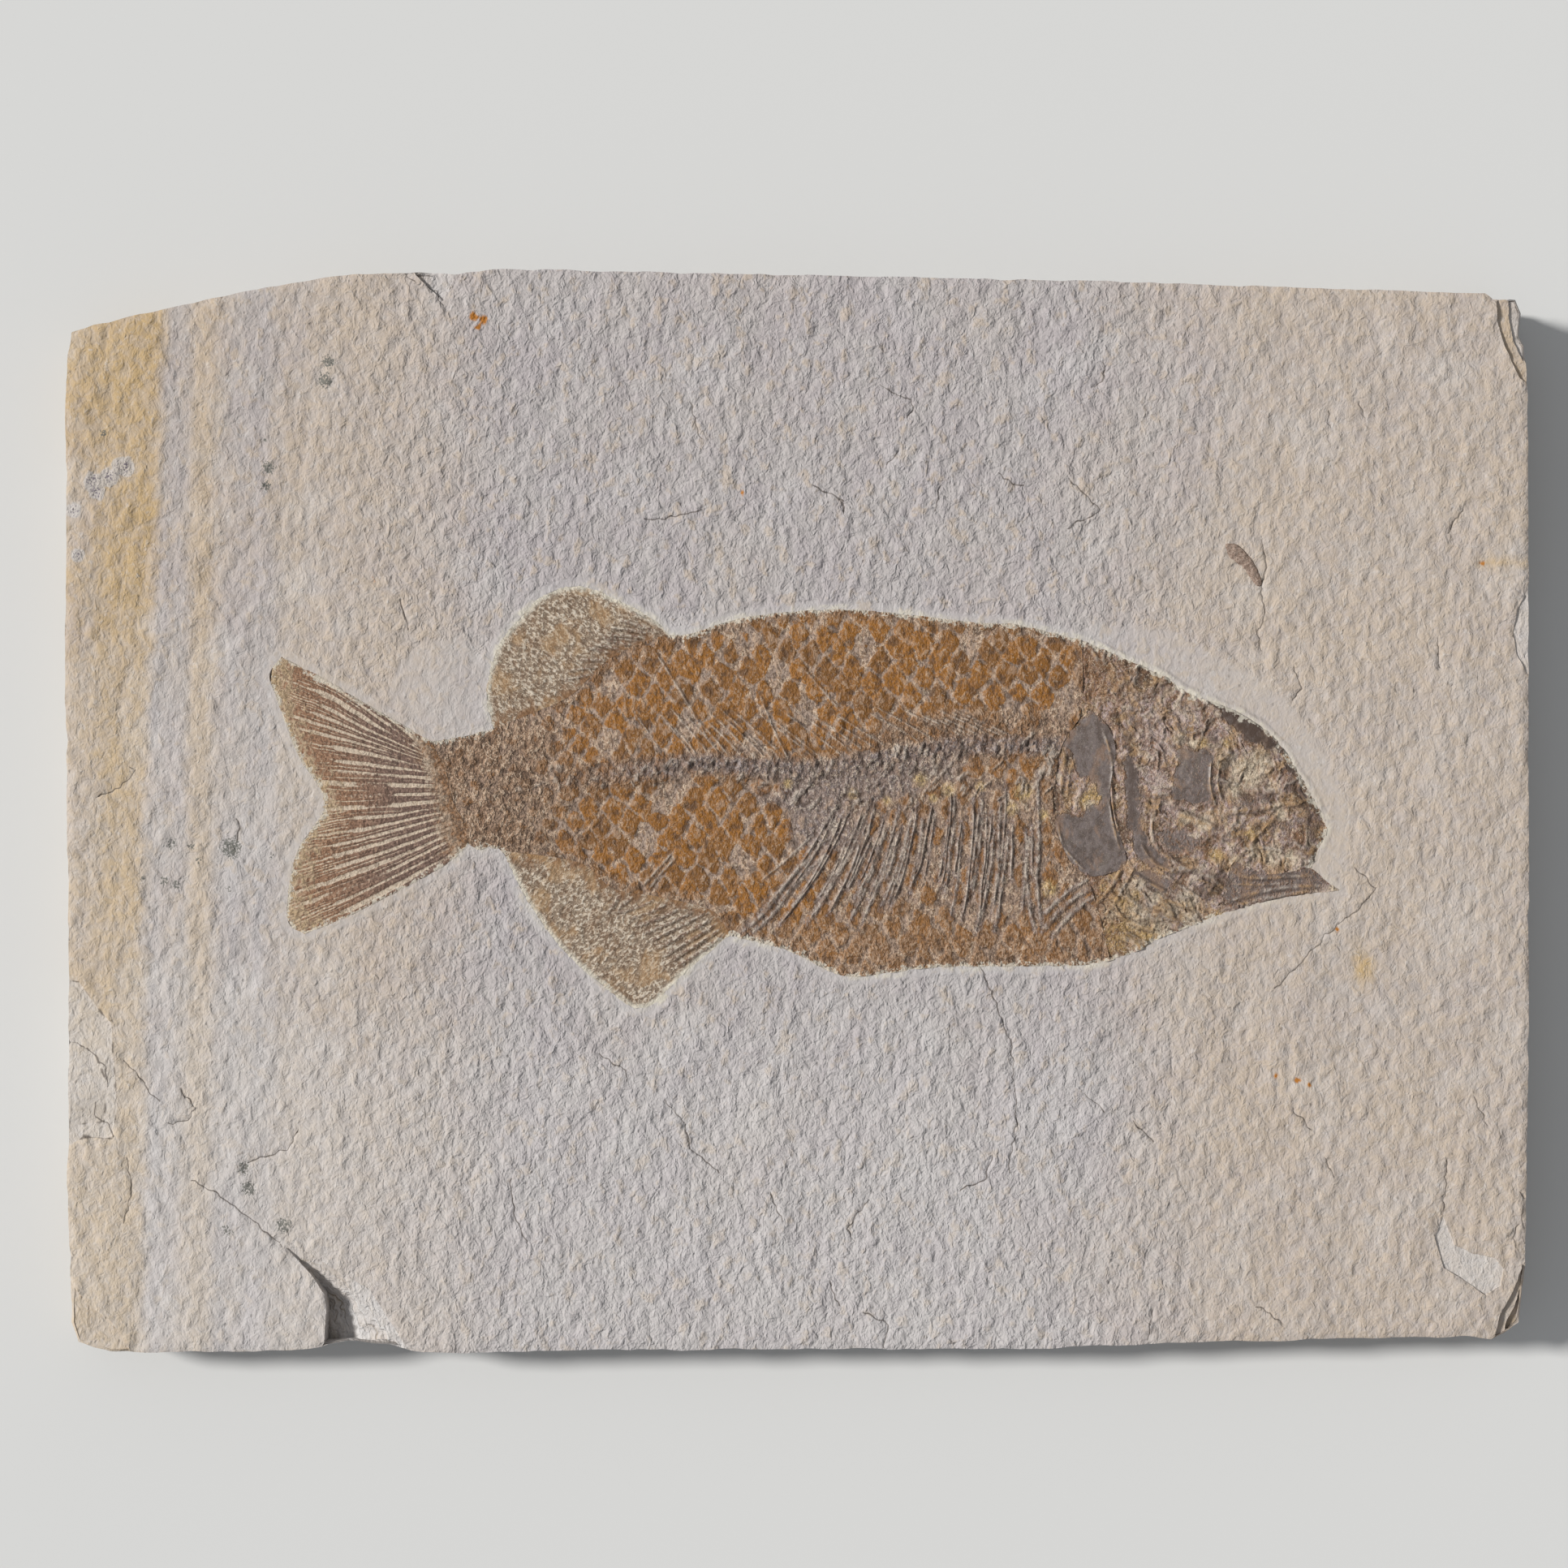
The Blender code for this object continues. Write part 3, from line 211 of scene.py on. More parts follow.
# Hairline cracks and little ledges in the face
CRACKS = [
    [(-172.3, 3.6), (-167.3, 5.4), (-163.3, 10.0), (-164.5, 10.6)],
    [(-138.5, -2.4), (-137.3, -4.0), (-137.9, -7.4)],
    [(20.1, 104.8), (24.1, 102.8), (27.9, 101.2), (28.9, 99.2), (27.1, 97.2)],
    [(34.9, 80.2), (34.5, 76.4), (33.9, 74.4)],
    [(49.5, 83.2), (52.3, 81.2), (55.3, 80.0)],
    [(10.3, 77.2), (11.3, 76.0), (11.3, 74.0)],
    [(24.7, 88.6), (21.9, 85.4)],
    [(75.3, 110.4), (75.9, 106.8), (73.5, 104.6)],
    [(66.9, 81.8), (74.5, 74.2), (66.9, 69.8)],
    [(130.7, 98.4), (131.1, 94.2)],
    [(138.3, 100.6), (139.7, 97.0)],
    [(164.3, 74.6), (160.1, 68.8)],
    [(157.9, 42.4), (157.9, 35.4)],
    [(-26.5, 100.6), (-23.9, 91.6)],
    [(3.9, 80.0), (10.9, 76.4), (11.5, 73.8)],
    [(-37.3, 72.0), (-30.5, 72.4), (-23.9, 73.8)],
    [(-32.7, -71.6), (-27.9, -77.0), (-26.5, -83.2), (-19.3, -89.4)],
    [(-70.7, -91.2), (-69.9, -99.2), (-66.7, -106.4)],
    [(-6.9, -94.0), (-3.7, -101.0)],
    [(17.7, -95.8), (12.3, -102.8), (14.1, -106.4)],
    [(48.1, -85.0), (45.9, -91.2), (40.5, -93.4)],
    [(7.9, -116.2), (10.1, -122.0)],
    [(16.3, -123.4), (22.5, -126.6), (21.3, -132.4)],
    [(-48.9, -60.0), (-42.1, -64.0), (-42.1, -66.8)],
    [(71.3, -69.8), (75.3, -73.8)],
    [(82.9, -76.6), (87.5, -81.4)],
    [(122.3, -73.4), (126.7, -78.8)],
    [(130.3, -86.0), (132.1, -90.4)],
    [(166.9, -70.8), (170.1, -77.8)],
    [(160.1, -86.0), (159.3, -98.4)],
    [(113.3, -122.0), (119.5, -126.0)],
    [(87.5, -123.4), (86.5, -130.6)],
    [(-123.3, -79.6), (-125.9, -83.6), (-135.7, -86.8), (-136.7, -89.4)],
    [(-97.9, 51.8), (-96.9, 48.4), (-95.9, 44.8)],
    [(45.3, -38.6), (52.9, -58.2), (53.9, -77.0), (52.1, -88.6)],
    [(137.5, -14.4), (142.7, -19.0), (139.3, -23.4), (132.1, -28.8), (117.7, -44.0)],
    [(114.3, 66.6), (115.1, 61.2), (114.3, 54.0), (115.1, 47.0), (113.3, 44.2), (114.3, 39.8)],
    [(122.3, 35.4), (124.1, 30.0), (122.3, 27.4)],
    [(-177.7, -57.2), (-175.1, -58.6), (-172.9, -60.4), (-170.9, -63.0), (-169.7, -67.6)],
    [(-173.5, -72.0), (-173.1, -75.4), (-170.5, -77.2), (-168.5, -80.2)],
    [(-165.9, -61.6), (-162.7, -64.4), (-159.5, -69.2), (-157.5, -71.4)],
    [(-151.7, -69.0), (-148.5, -73.0), (-149.3, -75.4), (-151.9, -76.8), (-155.1, -77.0)],
    [(-165.3, -85.8), (-163.9, -94.8), (-166.5, -101.6)],
    [(-149.1, -91.2), (-142.9, -94.4), (-134.1, -101.0), (-126.9, -107.4)],
    [(178.5, -94.2), (179.5, -97.0), (178.3, -99.8), (179.3, -103.8)],
    [(177.9, -101.6), (176.7, -104.4), (176.9, -107.4)],
    [(-96.7, 132.6), (-94.7, 130.6)],
    [(-90.9, 129.0), (-88.9, 127.8), (-87.7, 124.6)],
]
CRACK_WIDTH = 0.3
CRACK_DEPTH = 0.28

GRAIN_LEAN = math.radians(5.0)         # the grain's long way leans this far right of +Y
GRAIN_SPACING = (0.92, 1.16)           # points of the modelled face, across and along
UNDER_FISH_SPACING = 6.0
SWELL_HEIGHT = 0.33                    # broad lumps of the split
PEBBLE_HEIGHT = 0.36                   # the pebbly grain on them
PEBBLE_MEAN = -0.07                    # the mean level of the grain
WORN_EDGE = 0.5                        # how far the face falls away at the slab's own edge
RIM_DEPTH = 0.22                       # how far the scraped stone lies below the face
RIM_WIDTH = 1.5                        # the pale rim that was left against the fish
TROUGH_WIDTH = 2.4                     # the scraped stone beside the body
TROUGH_WIDTH_HEAD = 9.0                # and above the head, where the needle went wider
UNDER_FISH = 15.9                      # the stone goes on beneath the fish at this level
LAYERS = [17.2, 16.3, 16.1, 14.6, 14.3, 12.4, 12.2, 9.7, 9.4, 6.8, 6.5, 3.3, 3.0, 0.0]
SIDE_INSET = 0.75
HEAD_BAND = [(69.0, 43.5), (73.5, 46.2), (92.7, 44.2), (110.7, 34.5), (122.3, 25.8),
             (130.5, 13.4), (134.2, 2.6), (136.0, -8.0), (135.6, -16.0), (131.0, -19.0),
             (127.5, -13.0), (129.0, -3.0), (123.0, 9.0), (107.0, 24.0), (89.0, 33.0)]
SMOOTH_PATCH = [(-101.0, 27.0), (-98.5, 36.5), (-92.0, 41.5), (-83.0, 42.5), (-77.5, 38.0),
                (-76.5, 30.0), (-76.5, 21.0), (-84.0, 19.4), (-91.0, 19.0)]


def smooth(points, spacing):
    """Points about one spacing apart on the smooth curve through the given ones."""
    points = np.asarray(points, float)
    padded = np.vstack([points[:1], points, points[-1:]])
    curve = [points[:1]]
    for i in range(len(points) - 1):
        before, start, end, after = padded[i:i + 4]
        steps = max(1, round(float(np.hypot(*(end - start))) / spacing))
        t = np.arange(1, steps + 1)[:, None] / steps
        square = (2 * before - 5 * start + 4 * end - after) * t ** 2
        cube = (3 * start - before - 3 * end + after) * t ** 3
        curve.append((2 * start + (end - before) * t + square + cube) / 2)
    return np.vstack(curve)


def straight(points, spacing):
    """The same points, with others about one spacing apart on the lines between them."""
    points = np.asarray(points, float)
    path = [points[:1]]
    for start, end in zip(points, points[1:]):
        steps = max(1, round(float(np.hypot(*(end - start))) / spacing))
        path.append(start + (end - start) * np.arange(1, steps + 1)[:, None] / steps)
    return np.vstack(path)


def loop_of(*curves):
    """A closed loop, anticlockwise, of curves that meet end to end."""
    loop = np.vstack([curve[:-1] for curve in curves])
    after = np.roll(loop, -1, axis=0)
    area = np.sum(loop[:, 0] * after[:, 1] - after[:, 0] * loop[:, 1])
    return loop if area > 0 else loop[::-1]


def outward(loop):
    """The outward direction at each point of an anticlockwise loop."""
    along = np.roll(loop, -1, axis=0) - np.roll(loop, 1, axis=0)
    normal = np.column_stack([along[:, 1], -along[:, 0]])
    return normal / np.maximum(np.hypot(*normal.T), 1e-9)[:, None]


def inside(loop, x, y):
    """Which of the points lie in the loop."""
    found = np.zeros(x.shape, bool)
    loop = np.asarray(loop)
    for (ax, ay), (bx, by) in zip(loop, np.roll(loop, -1, axis=0)):
        if ay != by:
            span = (ay > y) != (by > y)
            found ^= span & (x < ax + (bx - ax) * (y - ay) / (by - ay))
    return found


def clipped(value):
    return np.clip(value, 0.0, 1.0)


def measure(path, x, y, limit, closed=False):
    """For points within the limit of a path: how far off it they are, which side of it they
    are on (+1 away from the lamp) and the share of its length passed. Others keep the limit."""
    path = np.asarray(path, float)
    ends = np.roll(path, -1, axis=0) if closed else path[1:]
    away = np.full(x.shape, float(limit))
    side, along = np.zeros(x.shape), np.zeros(x.shape)
    low, high = path.min(0) - limit, path.max(0) + limit
    around = np.flatnonzero((x > low[0]) & (x < high[0]) & (y > low[1]) & (y < high[1]))
    px, py = x[around], y[around]
    passed = 0.0
    for (ax, ay), (bx, by) in zip(path, ends):
        near = np.flatnonzero((px > min(ax, bx) - limit) & (px < max(ax, bx) + limit)
                              & (py > min(ay, by) - limit) & (py < max(ay, by) + limit))
        ux, uy = bx - ax, by - ay
        length = math.hypot(ux, uy)
        qx, qy = px[near] - ax, py[near] - ay
        share = clipped((qx * ux + qy * uy) / max(length * length, 1e-12))
        dx, dy = qx - ux * share, qy - uy * share
        gap = np.hypot(dx, dy)
        target = around[near]
        closer = gap < away[target]
        target = target[closer]
        away[target] = gap[closer]
        side[target] = np.sign(dx[closer] - 0.35 * dy[closer])
        along[target] = passed + share[closer] * length
        passed += length
    return away, side, along / max(passed, 1e-9)


def reach(path, x, y, limit, closed=True):
    return measure(path, x, y, limit, closed)[0]


def eased(value, low, high):
    """0 below the low value, 1 above the high one, and smooth between."""
    share = clipped((value - low) / (high - low))
    return share * share * (3.0 - 2.0 * share)


def swell(x, y, length, seed):
    """Smooth lumps about one length apart, mostly between -1 and 1."""
    dice = np.random.RandomState(seed)
    order = dice.permutation(256)
    turns = dice.uniform(0.0, 2 * np.pi, 256)
    u, v = x / length, y / length
    i, j = np.floor(u).astype(int), np.floor(v).astype(int)
    total = np.zeros(x.shape)
    for di in (0, 1):
        for dj in (0, 1):
            turn = turns[order[(order[(i + di) % 256] + j + dj) % 256]]
            fu, fv = u - i - di, v - j - dj
            weight = eased(1.0 - np.abs(fu), 0.0, 1.0) * eased(1.0 - np.abs(fv), 0.0, 1.0)
            total += weight * (np.cos(turn) * fu + np.sin(turn) * fv)
    return 1.7 * total


def lattice(loop, pitch, row, nudge, seed):
    """Staggered points that fill a loop's box, each nudged a little."""
    low, high = np.min(loop, axis=0), np.max(loop, axis=0)
    columns = np.arange(low[0], high[0] + pitch, pitch)
    rows = np.arange(low[1], high[1] + row, row)
    x, y = np.meshgrid(columns, rows)
    x = x + 0.5 * pitch * (np.arange(len(rows)) % 2)[:, None]
    dice = np.random.RandomState(seed)
    x = x + dice.uniform(-nudge, nudge, x.shape)
    y = y + dice.uniform(-nudge, nudge, y.shape)
    x, y = x.ravel(), y.ravel()
    held = inside(loop, x, y)
    return x[held], y[held]


def beside(path, width, step, closed=False):
    """Three rows of points along a path, down its middle and along both its sides."""
    fine = straight(np.vstack([path, path[:1]]) if closed else path, step)
    along = np.gradient(fine, axis=0)
    normal = np.column_stack([along[:, 1], -along[:, 0]])
    normal /= np.maximum(np.hypot(*normal.T), 1e-9)[:, None]
    return np.vstack([fine, fine + normal * width, fine - normal * width])


def filled(points, ties, grain=1e-4):
    """Triangles over the plan of the points, inside the tied outline, and where each of the
    first points went."""
    plan, _, corners, sources, _, _ = delaunay_2d_cdt([Vector(p) for p in points], ties, [],
                                                      1, grain)
    plan = np.array([tuple(p) for p in plan])
    corners = np.array(corners, dtype=np.int64)
    place = np.zeros(len(points), dtype=np.int64)
    for index, source in enumerate(sources):
        for first in source:
            place[first] = index
    a, b, c = plan[corners[:, 0]], plan[corners[:, 1]], plan[corners[:, 2]]
    area = (b[:, 0] - a[:, 0]) * (c[:, 1] - a[:, 1]) - (c[:, 0] - a[:, 0]) * (b[:, 1] - a[:, 1])
    corners[area < 0] = corners[area < 0][:, ::-1]
    return plan, corners[np.abs(area) > 1e-9], place


def skinned(name, loop, points, top, levels, inset=None, base_spacing=12.0):
    """One closed skin: a modelled upper face, sides that go down through the levels, and a
    flat underside at the last of them."""
    count = len(loop)
    ties = [(i, (i + 1) % count) for i in range(count)]
    plan, corners, place = filled(np.vstack([loop, points]), ties)
    rim = place[:count]
    heights = top(plan[:, 0], plan[:, 1])
    spots = [np.column_stack([plan, heights])]
    faces, kinds = [corners], [np.zeros(len(corners), int)]
    total = len(plan)
    out = outward(loop)
    upper, after = rim, np.roll(np.arange(count), -1)
    for level, z in enumerate(levels):
        ring = loop - out * (inset(loop, z, level)[:, None] if inset else 0.0)
        spots.append(np.column_stack([ring, np.full(count, z)]))
        lower = total + np.arange(count)
        total += count
        faces.append(np.column_stack([upper, lower, lower[after]]))
        faces.append(np.column_stack([upper, lower[after], upper[after]]))
        kinds += [np.full(count, 1)] * 2
        upper = lower
    x, y = lattice(ring, base_spacing, base_spacing, 0.0, 3)
    clear = reach(ring, x, y, base_spacing) > 0.4 * base_spacing
    low_plan, low_corners, low_place = filled(
        np.vstack([ring, np.column_stack([x[clear], y[clear]])]), ties)
    renumber = np.zeros(len(low_plan), dtype=np.int64)
    fresh = np.ones(len(low_plan), bool)
    fresh[low_place[:count]] = False
    renumber[low_place[:count]] = upper
    renumber[fresh] = total + np.arange(fresh.sum())
    spots.append(np.column_stack([low_plan[fresh], np.full(fresh.sum(), levels[-1])]))
    faces.append(renumber[low_corners][:, ::-1])
    kinds.append(np.full(len(low_corners), 2))
    piece = built(name, np.vstack(spots), np.vstack(faces))
    lay_out(piece.data, np.concatenate(kinds))
    return piece


SHARP_ANGLE = math.radians(62.0)       # edges that turn further than this stay sharp


def lay_out(mesh, kinds):
    """A map for baking, with the upper face as it is seen and the sides and underside in a
    strip below it. Then the mesh is made smooth, but for its sharp edges."""
    corner = np.empty(len(mesh.loops), dtype=np.int64)
    mesh.loops.foreach_get("vertex_index", corner)
    spot = np.empty(len(mesh.vertices) * 3)
    mesh.vertices.foreach_get("co", spot)
    spot = spot.reshape(-1, 3)
    low, size = spot.min(0), np.ptp(spot, axis=0)
    share = (spot - low) / size
    upper = min(0.98, 0.72 * size[0] / size[1])
    turn = (np.arctan2(spot[:, 1] - low[1] - size[1] / 2, spot[:, 0] - low[0] - size[0] / 2)
            / (2 * np.pi) + 0.5)
    kind = np.repeat(kinds, 3)
    u = np.where(kind == 0, 0.01 + upper * share[corner, 0],
                 np.where(kind == 1, 0.32 + 0.67 * turn[corner], 0.01 + 0.28 * share[corner, 0]))
    tall = upper * size[1] / size[0]
    v = np.where(kind == 0, 0.27 + tall * share[corner, 1],
                 np.where(kind == 1, 0.02 + 0.2 * share[corner, 2],
                          0.02 + 0.22 * share[corner, 1]))
    chart = mesh.uv_layers.new(name="OFBake")
    chart.data.foreach_set("uv", np.column_stack([u, v]).ravel())
    mesh.shade_smooth()
    mesh.set_sharp_from_angle(angle=SHARP_ANGLE)


def plan_of(piece):
    """Where a piece's points are, in millimetres, as three rows."""
    spot = np.empty(len(piece.data.vertices) * 3)
    piece.data.vertices.foreach_get("co", spot)
    return spot.reshape(-1, 3).T / MM


def stain(piece, name, values):
    """Keeps a value at each point of a piece for its material to read."""
    layer = piece.data.attributes.new(name, "FLOAT", "POINT")
    layer.data.foreach_set("value", np.asarray(values, dtype=np.float32))


def set_piece(piece, finish, slot, *nodes):
    """Gives a piece its finish and puts it in the place of the solids it stands for."""
    piece.data.materials.append(finish)
    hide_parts(*nodes)
    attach(piece, "root")


def field(tree, name):
    """A value kept at each point of the piece."""
    return put(tree, "ShaderNodeAttribute", attribute_name=name).outputs["Fac"]


def reckoned(operation, first, second=0.0):
    """Two values put together, in the tree that the first of them stands in."""
    return put(first.id_data, "ShaderNodeMath", {0: first, 1: second},
               operation=operation).outputs[0]


def plus(first, second):
    return reckoned("ADD", first, second)


def minus(first, second):
    return reckoned("SUBTRACT", first, second)


def times(first, second):
    return reckoned("MULTIPLY", first, second)


def most_of(first, second):
    return reckoned("MAXIMUM", first, second)


def ramp(value, low, high, start=0.0, end=1.0):
    """The value taken smoothly from start to end as it goes from low to high."""
    return put(value.id_data, "ShaderNodeMapRange",
               {"Value": value, "From Min": low, "From Max": high, "To Min": start, "To Max": end},
               interpolation_type="SMOOTHSTEP").outputs["Result"]


def coat(share, under, over):
    """One colour laid over another where the share says."""
    tree = share.id_data
    mix = put(tree, "ShaderNodeMix", data_type="RGBA", clamp_factor=True)
    for socket, value in ((mix.inputs["Factor"], share), (mix.inputs[6], under),
                          (mix.inputs[7], over)):
        if isinstance(value, bpy.types.NodeSocket):
            tree.links.new(value, socket)
        else:
            socket.default_value = value
    return mix.outputs[2]


def coated(colour, *coats):
    """A colour with coats laid over it in turn, each the share it covers and its colour."""
    for share, over in coats:
        colour = coat(share, colour, over)
    return colour


def patchy(name, grit, low, high, start=0.0, end=1.0):
    """A stain kept on the piece, broken up by uneven grain."""
    return times(field(grit.id_data, name), ramp(grit, low, high, start, end))


def lines_at(value, level, width):
    """Thin lines that wander wherever an uneven value crosses a level."""
    return ramp(reckoned("ABSOLUTE", minus(value, level)), width, 0.2 * width)


def mixed(*parts):
    """The sum of some values, each with its strength."""
    total = times(*parts[0])
    for part in parts[1:]:
        total = plus(total, times(*part))
    return total


def finish_off(shader, colour, rough, shine, height):
    """Feeds a colour, a roughness and a height in millimetres to the shader."""
    tree = colour.id_data
    tree.links.new(colour, shader.inputs["Base Color"])
    if isinstance(rough, bpy.types.NodeSocket):
        tree.links.new(rough, shader.inputs["Roughness"])
    else:
        shader.inputs["Roughness"].default_value = rough
    shader.inputs["Specular IOR Level"].default_value = shine
    bump = put(tree, "ShaderNodeBump", {"Strength": 1.0, "Distance": MM, "Height": height})
    tree.links.new(bump.outputs["Normal"], shader.inputs["Normal"])


def new_group(name, inputs, outputs):
    """A shader node group with named sockets, and its inlet and outlet."""
    group = bpy.data.node_groups.new(name, "ShaderNodeTree")
    for socket, value in inputs:
        group.interface.new_socket(socket, in_out="INPUT",
                                   socket_type="NodeSocketFloat").default_value = value
    for socket in outputs:
        group.interface.new_socket(socket, in_out="OUTPUT", socket_type="NodeSocketFloat")
    return group, group.nodes.new("NodeGroupInput"), group.nodes.new("NodeGroupOutput")


def grit_group():
    """Uneven grain. Length and Long are its size across and along in millimetres, Lean its
    slant. Height is the grain itself, Fine a finer one on it, Pits a few small holes."""
    group, inlet, outlet = new_group("grit", [("Length", 1.0), ("Long", 1.0), ("Lean", 0.0)],
                                     ["Height", "Fine", "Pits"])
    place = put(group, "ShaderNodeTexCoord").outputs["Object"]
    leaned = put(group, "ShaderNodeVectorRotate", {"Vector": place, "Angle": inlet.outputs["Lean"]},
                 rotation_type="Z_AXIS").outputs[0]
    across, along = [put(group, "ShaderNodeMath", {0: 1.0 / MM, 1: inlet.outputs[size]},
                         operation="DIVIDE").outputs[0] for size in ("Length", "Long")]
    sizes = put(group, "ShaderNodeCombineXYZ", {0: across, 1: along, 2: across}).outputs[0]
    grains = put(group, "ShaderNodeVectorMath", {0: leaned, 1: sizes},
                 operation="MULTIPLY").outputs[0]
    coarse = put(group, "ShaderNodeTexNoise", {"Vector": grains, "Scale": 1.0, "Detail": 2.5,
                                               "Roughness": 0.62, "Distortion": 0.35})
    fine = put(group, "ShaderNodeTexNoise", {"Vector": grains, "Scale": 2.9, "Detail": 2.0,
                                             "Roughness": 0.6})
    holes = put(group, "ShaderNodeTexVoronoi", {"Vector": grains, "Scale": 0.45,
                                                "Randomness": 1.0})
    group.links.new(coarse.outputs["Fac"], outlet.inputs["Height"])
    group.links.new(fine.outputs["Fac"], outlet.inputs["Fine"])
    group.links.new(ramp(holes.outputs["Distance"], 0.16, 0.06), outlet.inputs["Pits"])
    return group


def use_grit(tree, length, long, lean=0.0):
    node = put(tree, "ShaderNodeGroup")
    node.node_tree = GRIT
    for socket, value in (("Length", length), ("Long", long), ("Lean", lean)):
        node.inputs[socket].default_value = value
    return node.outputs["Height"], node.outputs["Fine"], node.outputs["Pits"]


GRIT = grit_group()

FISH_CURVES = [(PEDUNCLE_TOP, DORSAL_EDGE, BACK, CROWN), (JAW_FRONT,),
               (JAW_UNDER, THROAT, BELLY, ANAL_EDGE, PEDUNCLE_LOW, TAIL_LOWER, TAIL_END,
                TAIL_UPPER)]


def fish_outline(spacing):
    curves = []
    for run in FISH_CURVES:
        bend = straight if run == (JAW_FRONT,) else smooth
        curves += [bend(curve, spacing) for curve in run]
    return loop_of(*curves)


slab_loop = loop_of(smooth(SLAB_ARCH, 1.5), straight(SLAB_REST, 1.5))
wander = (0.22 * swell(slab_loop[:, 0] + 3.0, slab_loop[:, 1], 4.0, 5)
          + 0.25 * swell(slab_loop[:, 0], slab_loop[:, 1], 11.0, 6))
slab_loop = slab_loop + outward(slab_loop) * (wander - 0.15)[:, None]
fish_loop = fish_outline(0.9)
coprolite_loop = loop_of(smooth(COPROLITE, 0.5))
flakes = [(depth, np.asarray(outline)) for depth, outline in FLAKES]
breaks = [outline for _, outline in flakes] + [np.asarray(NOTCH), np.asarray(TOP_CHIP)]


def ragged_path(path, seed):
    """The path bent finely off its course, as stone breaks."""
    path = straight(path, 0.6)
    off = np.column_stack([swell(*path.T, 1.9, seed), swell(*path.T, 1.7, seed + 1)])
    return path + 0.55 * off


cracks = [ragged_path(path, 300 + 2 * i) for i, path in enumerate(CRACKS)]


def trough_width(x, y):
    over_head = eased(x, 70.0, 88.0) * eased(y, -14.0, 0.0)
    return TROUGH_WIDTH + (TROUGH_WIDTH_HEAD - TROUGH_WIDTH) * over_head


def notch_level(x, y, z):
    """Deep against the upright break on its left, rising in ledges to the right."""
    slant = NOTCH_TIP[0] + (y - NOTCH_TIP[1]) * NOTCH_SLANT
    left = np.where(y < NOTCH_BREAK[1], NOTCH_BREAK[0], np.minimum(slant, NOTCH_BREAK[0]))
    right = NOTCH_MOUTH[0] + (y - NOTCH_MOUTH[1]) * NOTCH_SLANT
    across = clipped((x - left) / np.maximum(right - left, 2.0))
    deepening = np.clip((NOTCH_TIP[1] - 2.0 - y) / 16.0, 0.03, 1.0) ** 1.5
    depth = 0.2 + NOTCH_DEPTH * deepening * (1.0 - across) ** 0.8
    depth = depth + 0.6 * swell(x, y, 2.6, 61) * deepening
    ledge = np.round(depth / 0.9) * 0.9
    return z - np.maximum(0.15, 0.35 * depth + 0.65 * ledge)


def chip_level(x, z):
    """Deep against its left side, running out to the right."""
    right, left = TOP_CHIP[4][0], TOP_CHIP[0][0]
    return z - 0.25 - TOP_CHIP_DEPTH * clipped((right - x) / (right - left))


def depth_in(area, x, y, limit):
    """How far inside an outline each point is, and below 0 outside it."""
    return reach(area, x, y, limit) * np.where(inside(area, x, y), 1.0, -1.0)


def scraped(x, y):
    """How far the needle has smoothed the grain, from 0 to 1."""
    width = trough_width(x, y)
    share = eased(reach(fish_loop, x, y, 12.0), width * 1.05, width * 0.55)
    for area in (HEAD_BAND, SMOOTH_PATCH):
        edge = depth_in(area, x, y, 3.0) + 0.5 * swell(x, y, 2.0, 31)
        share = np.maximum(share, eased(edge, -0.6, 0.9))
    return share


def past_rim(off_fish, x, y):
    """How far off the pale rim's outer edge each point is."""
    return off_fish - RIM_WIDTH - 0.5 * swell(x, y, 4.5, 27)


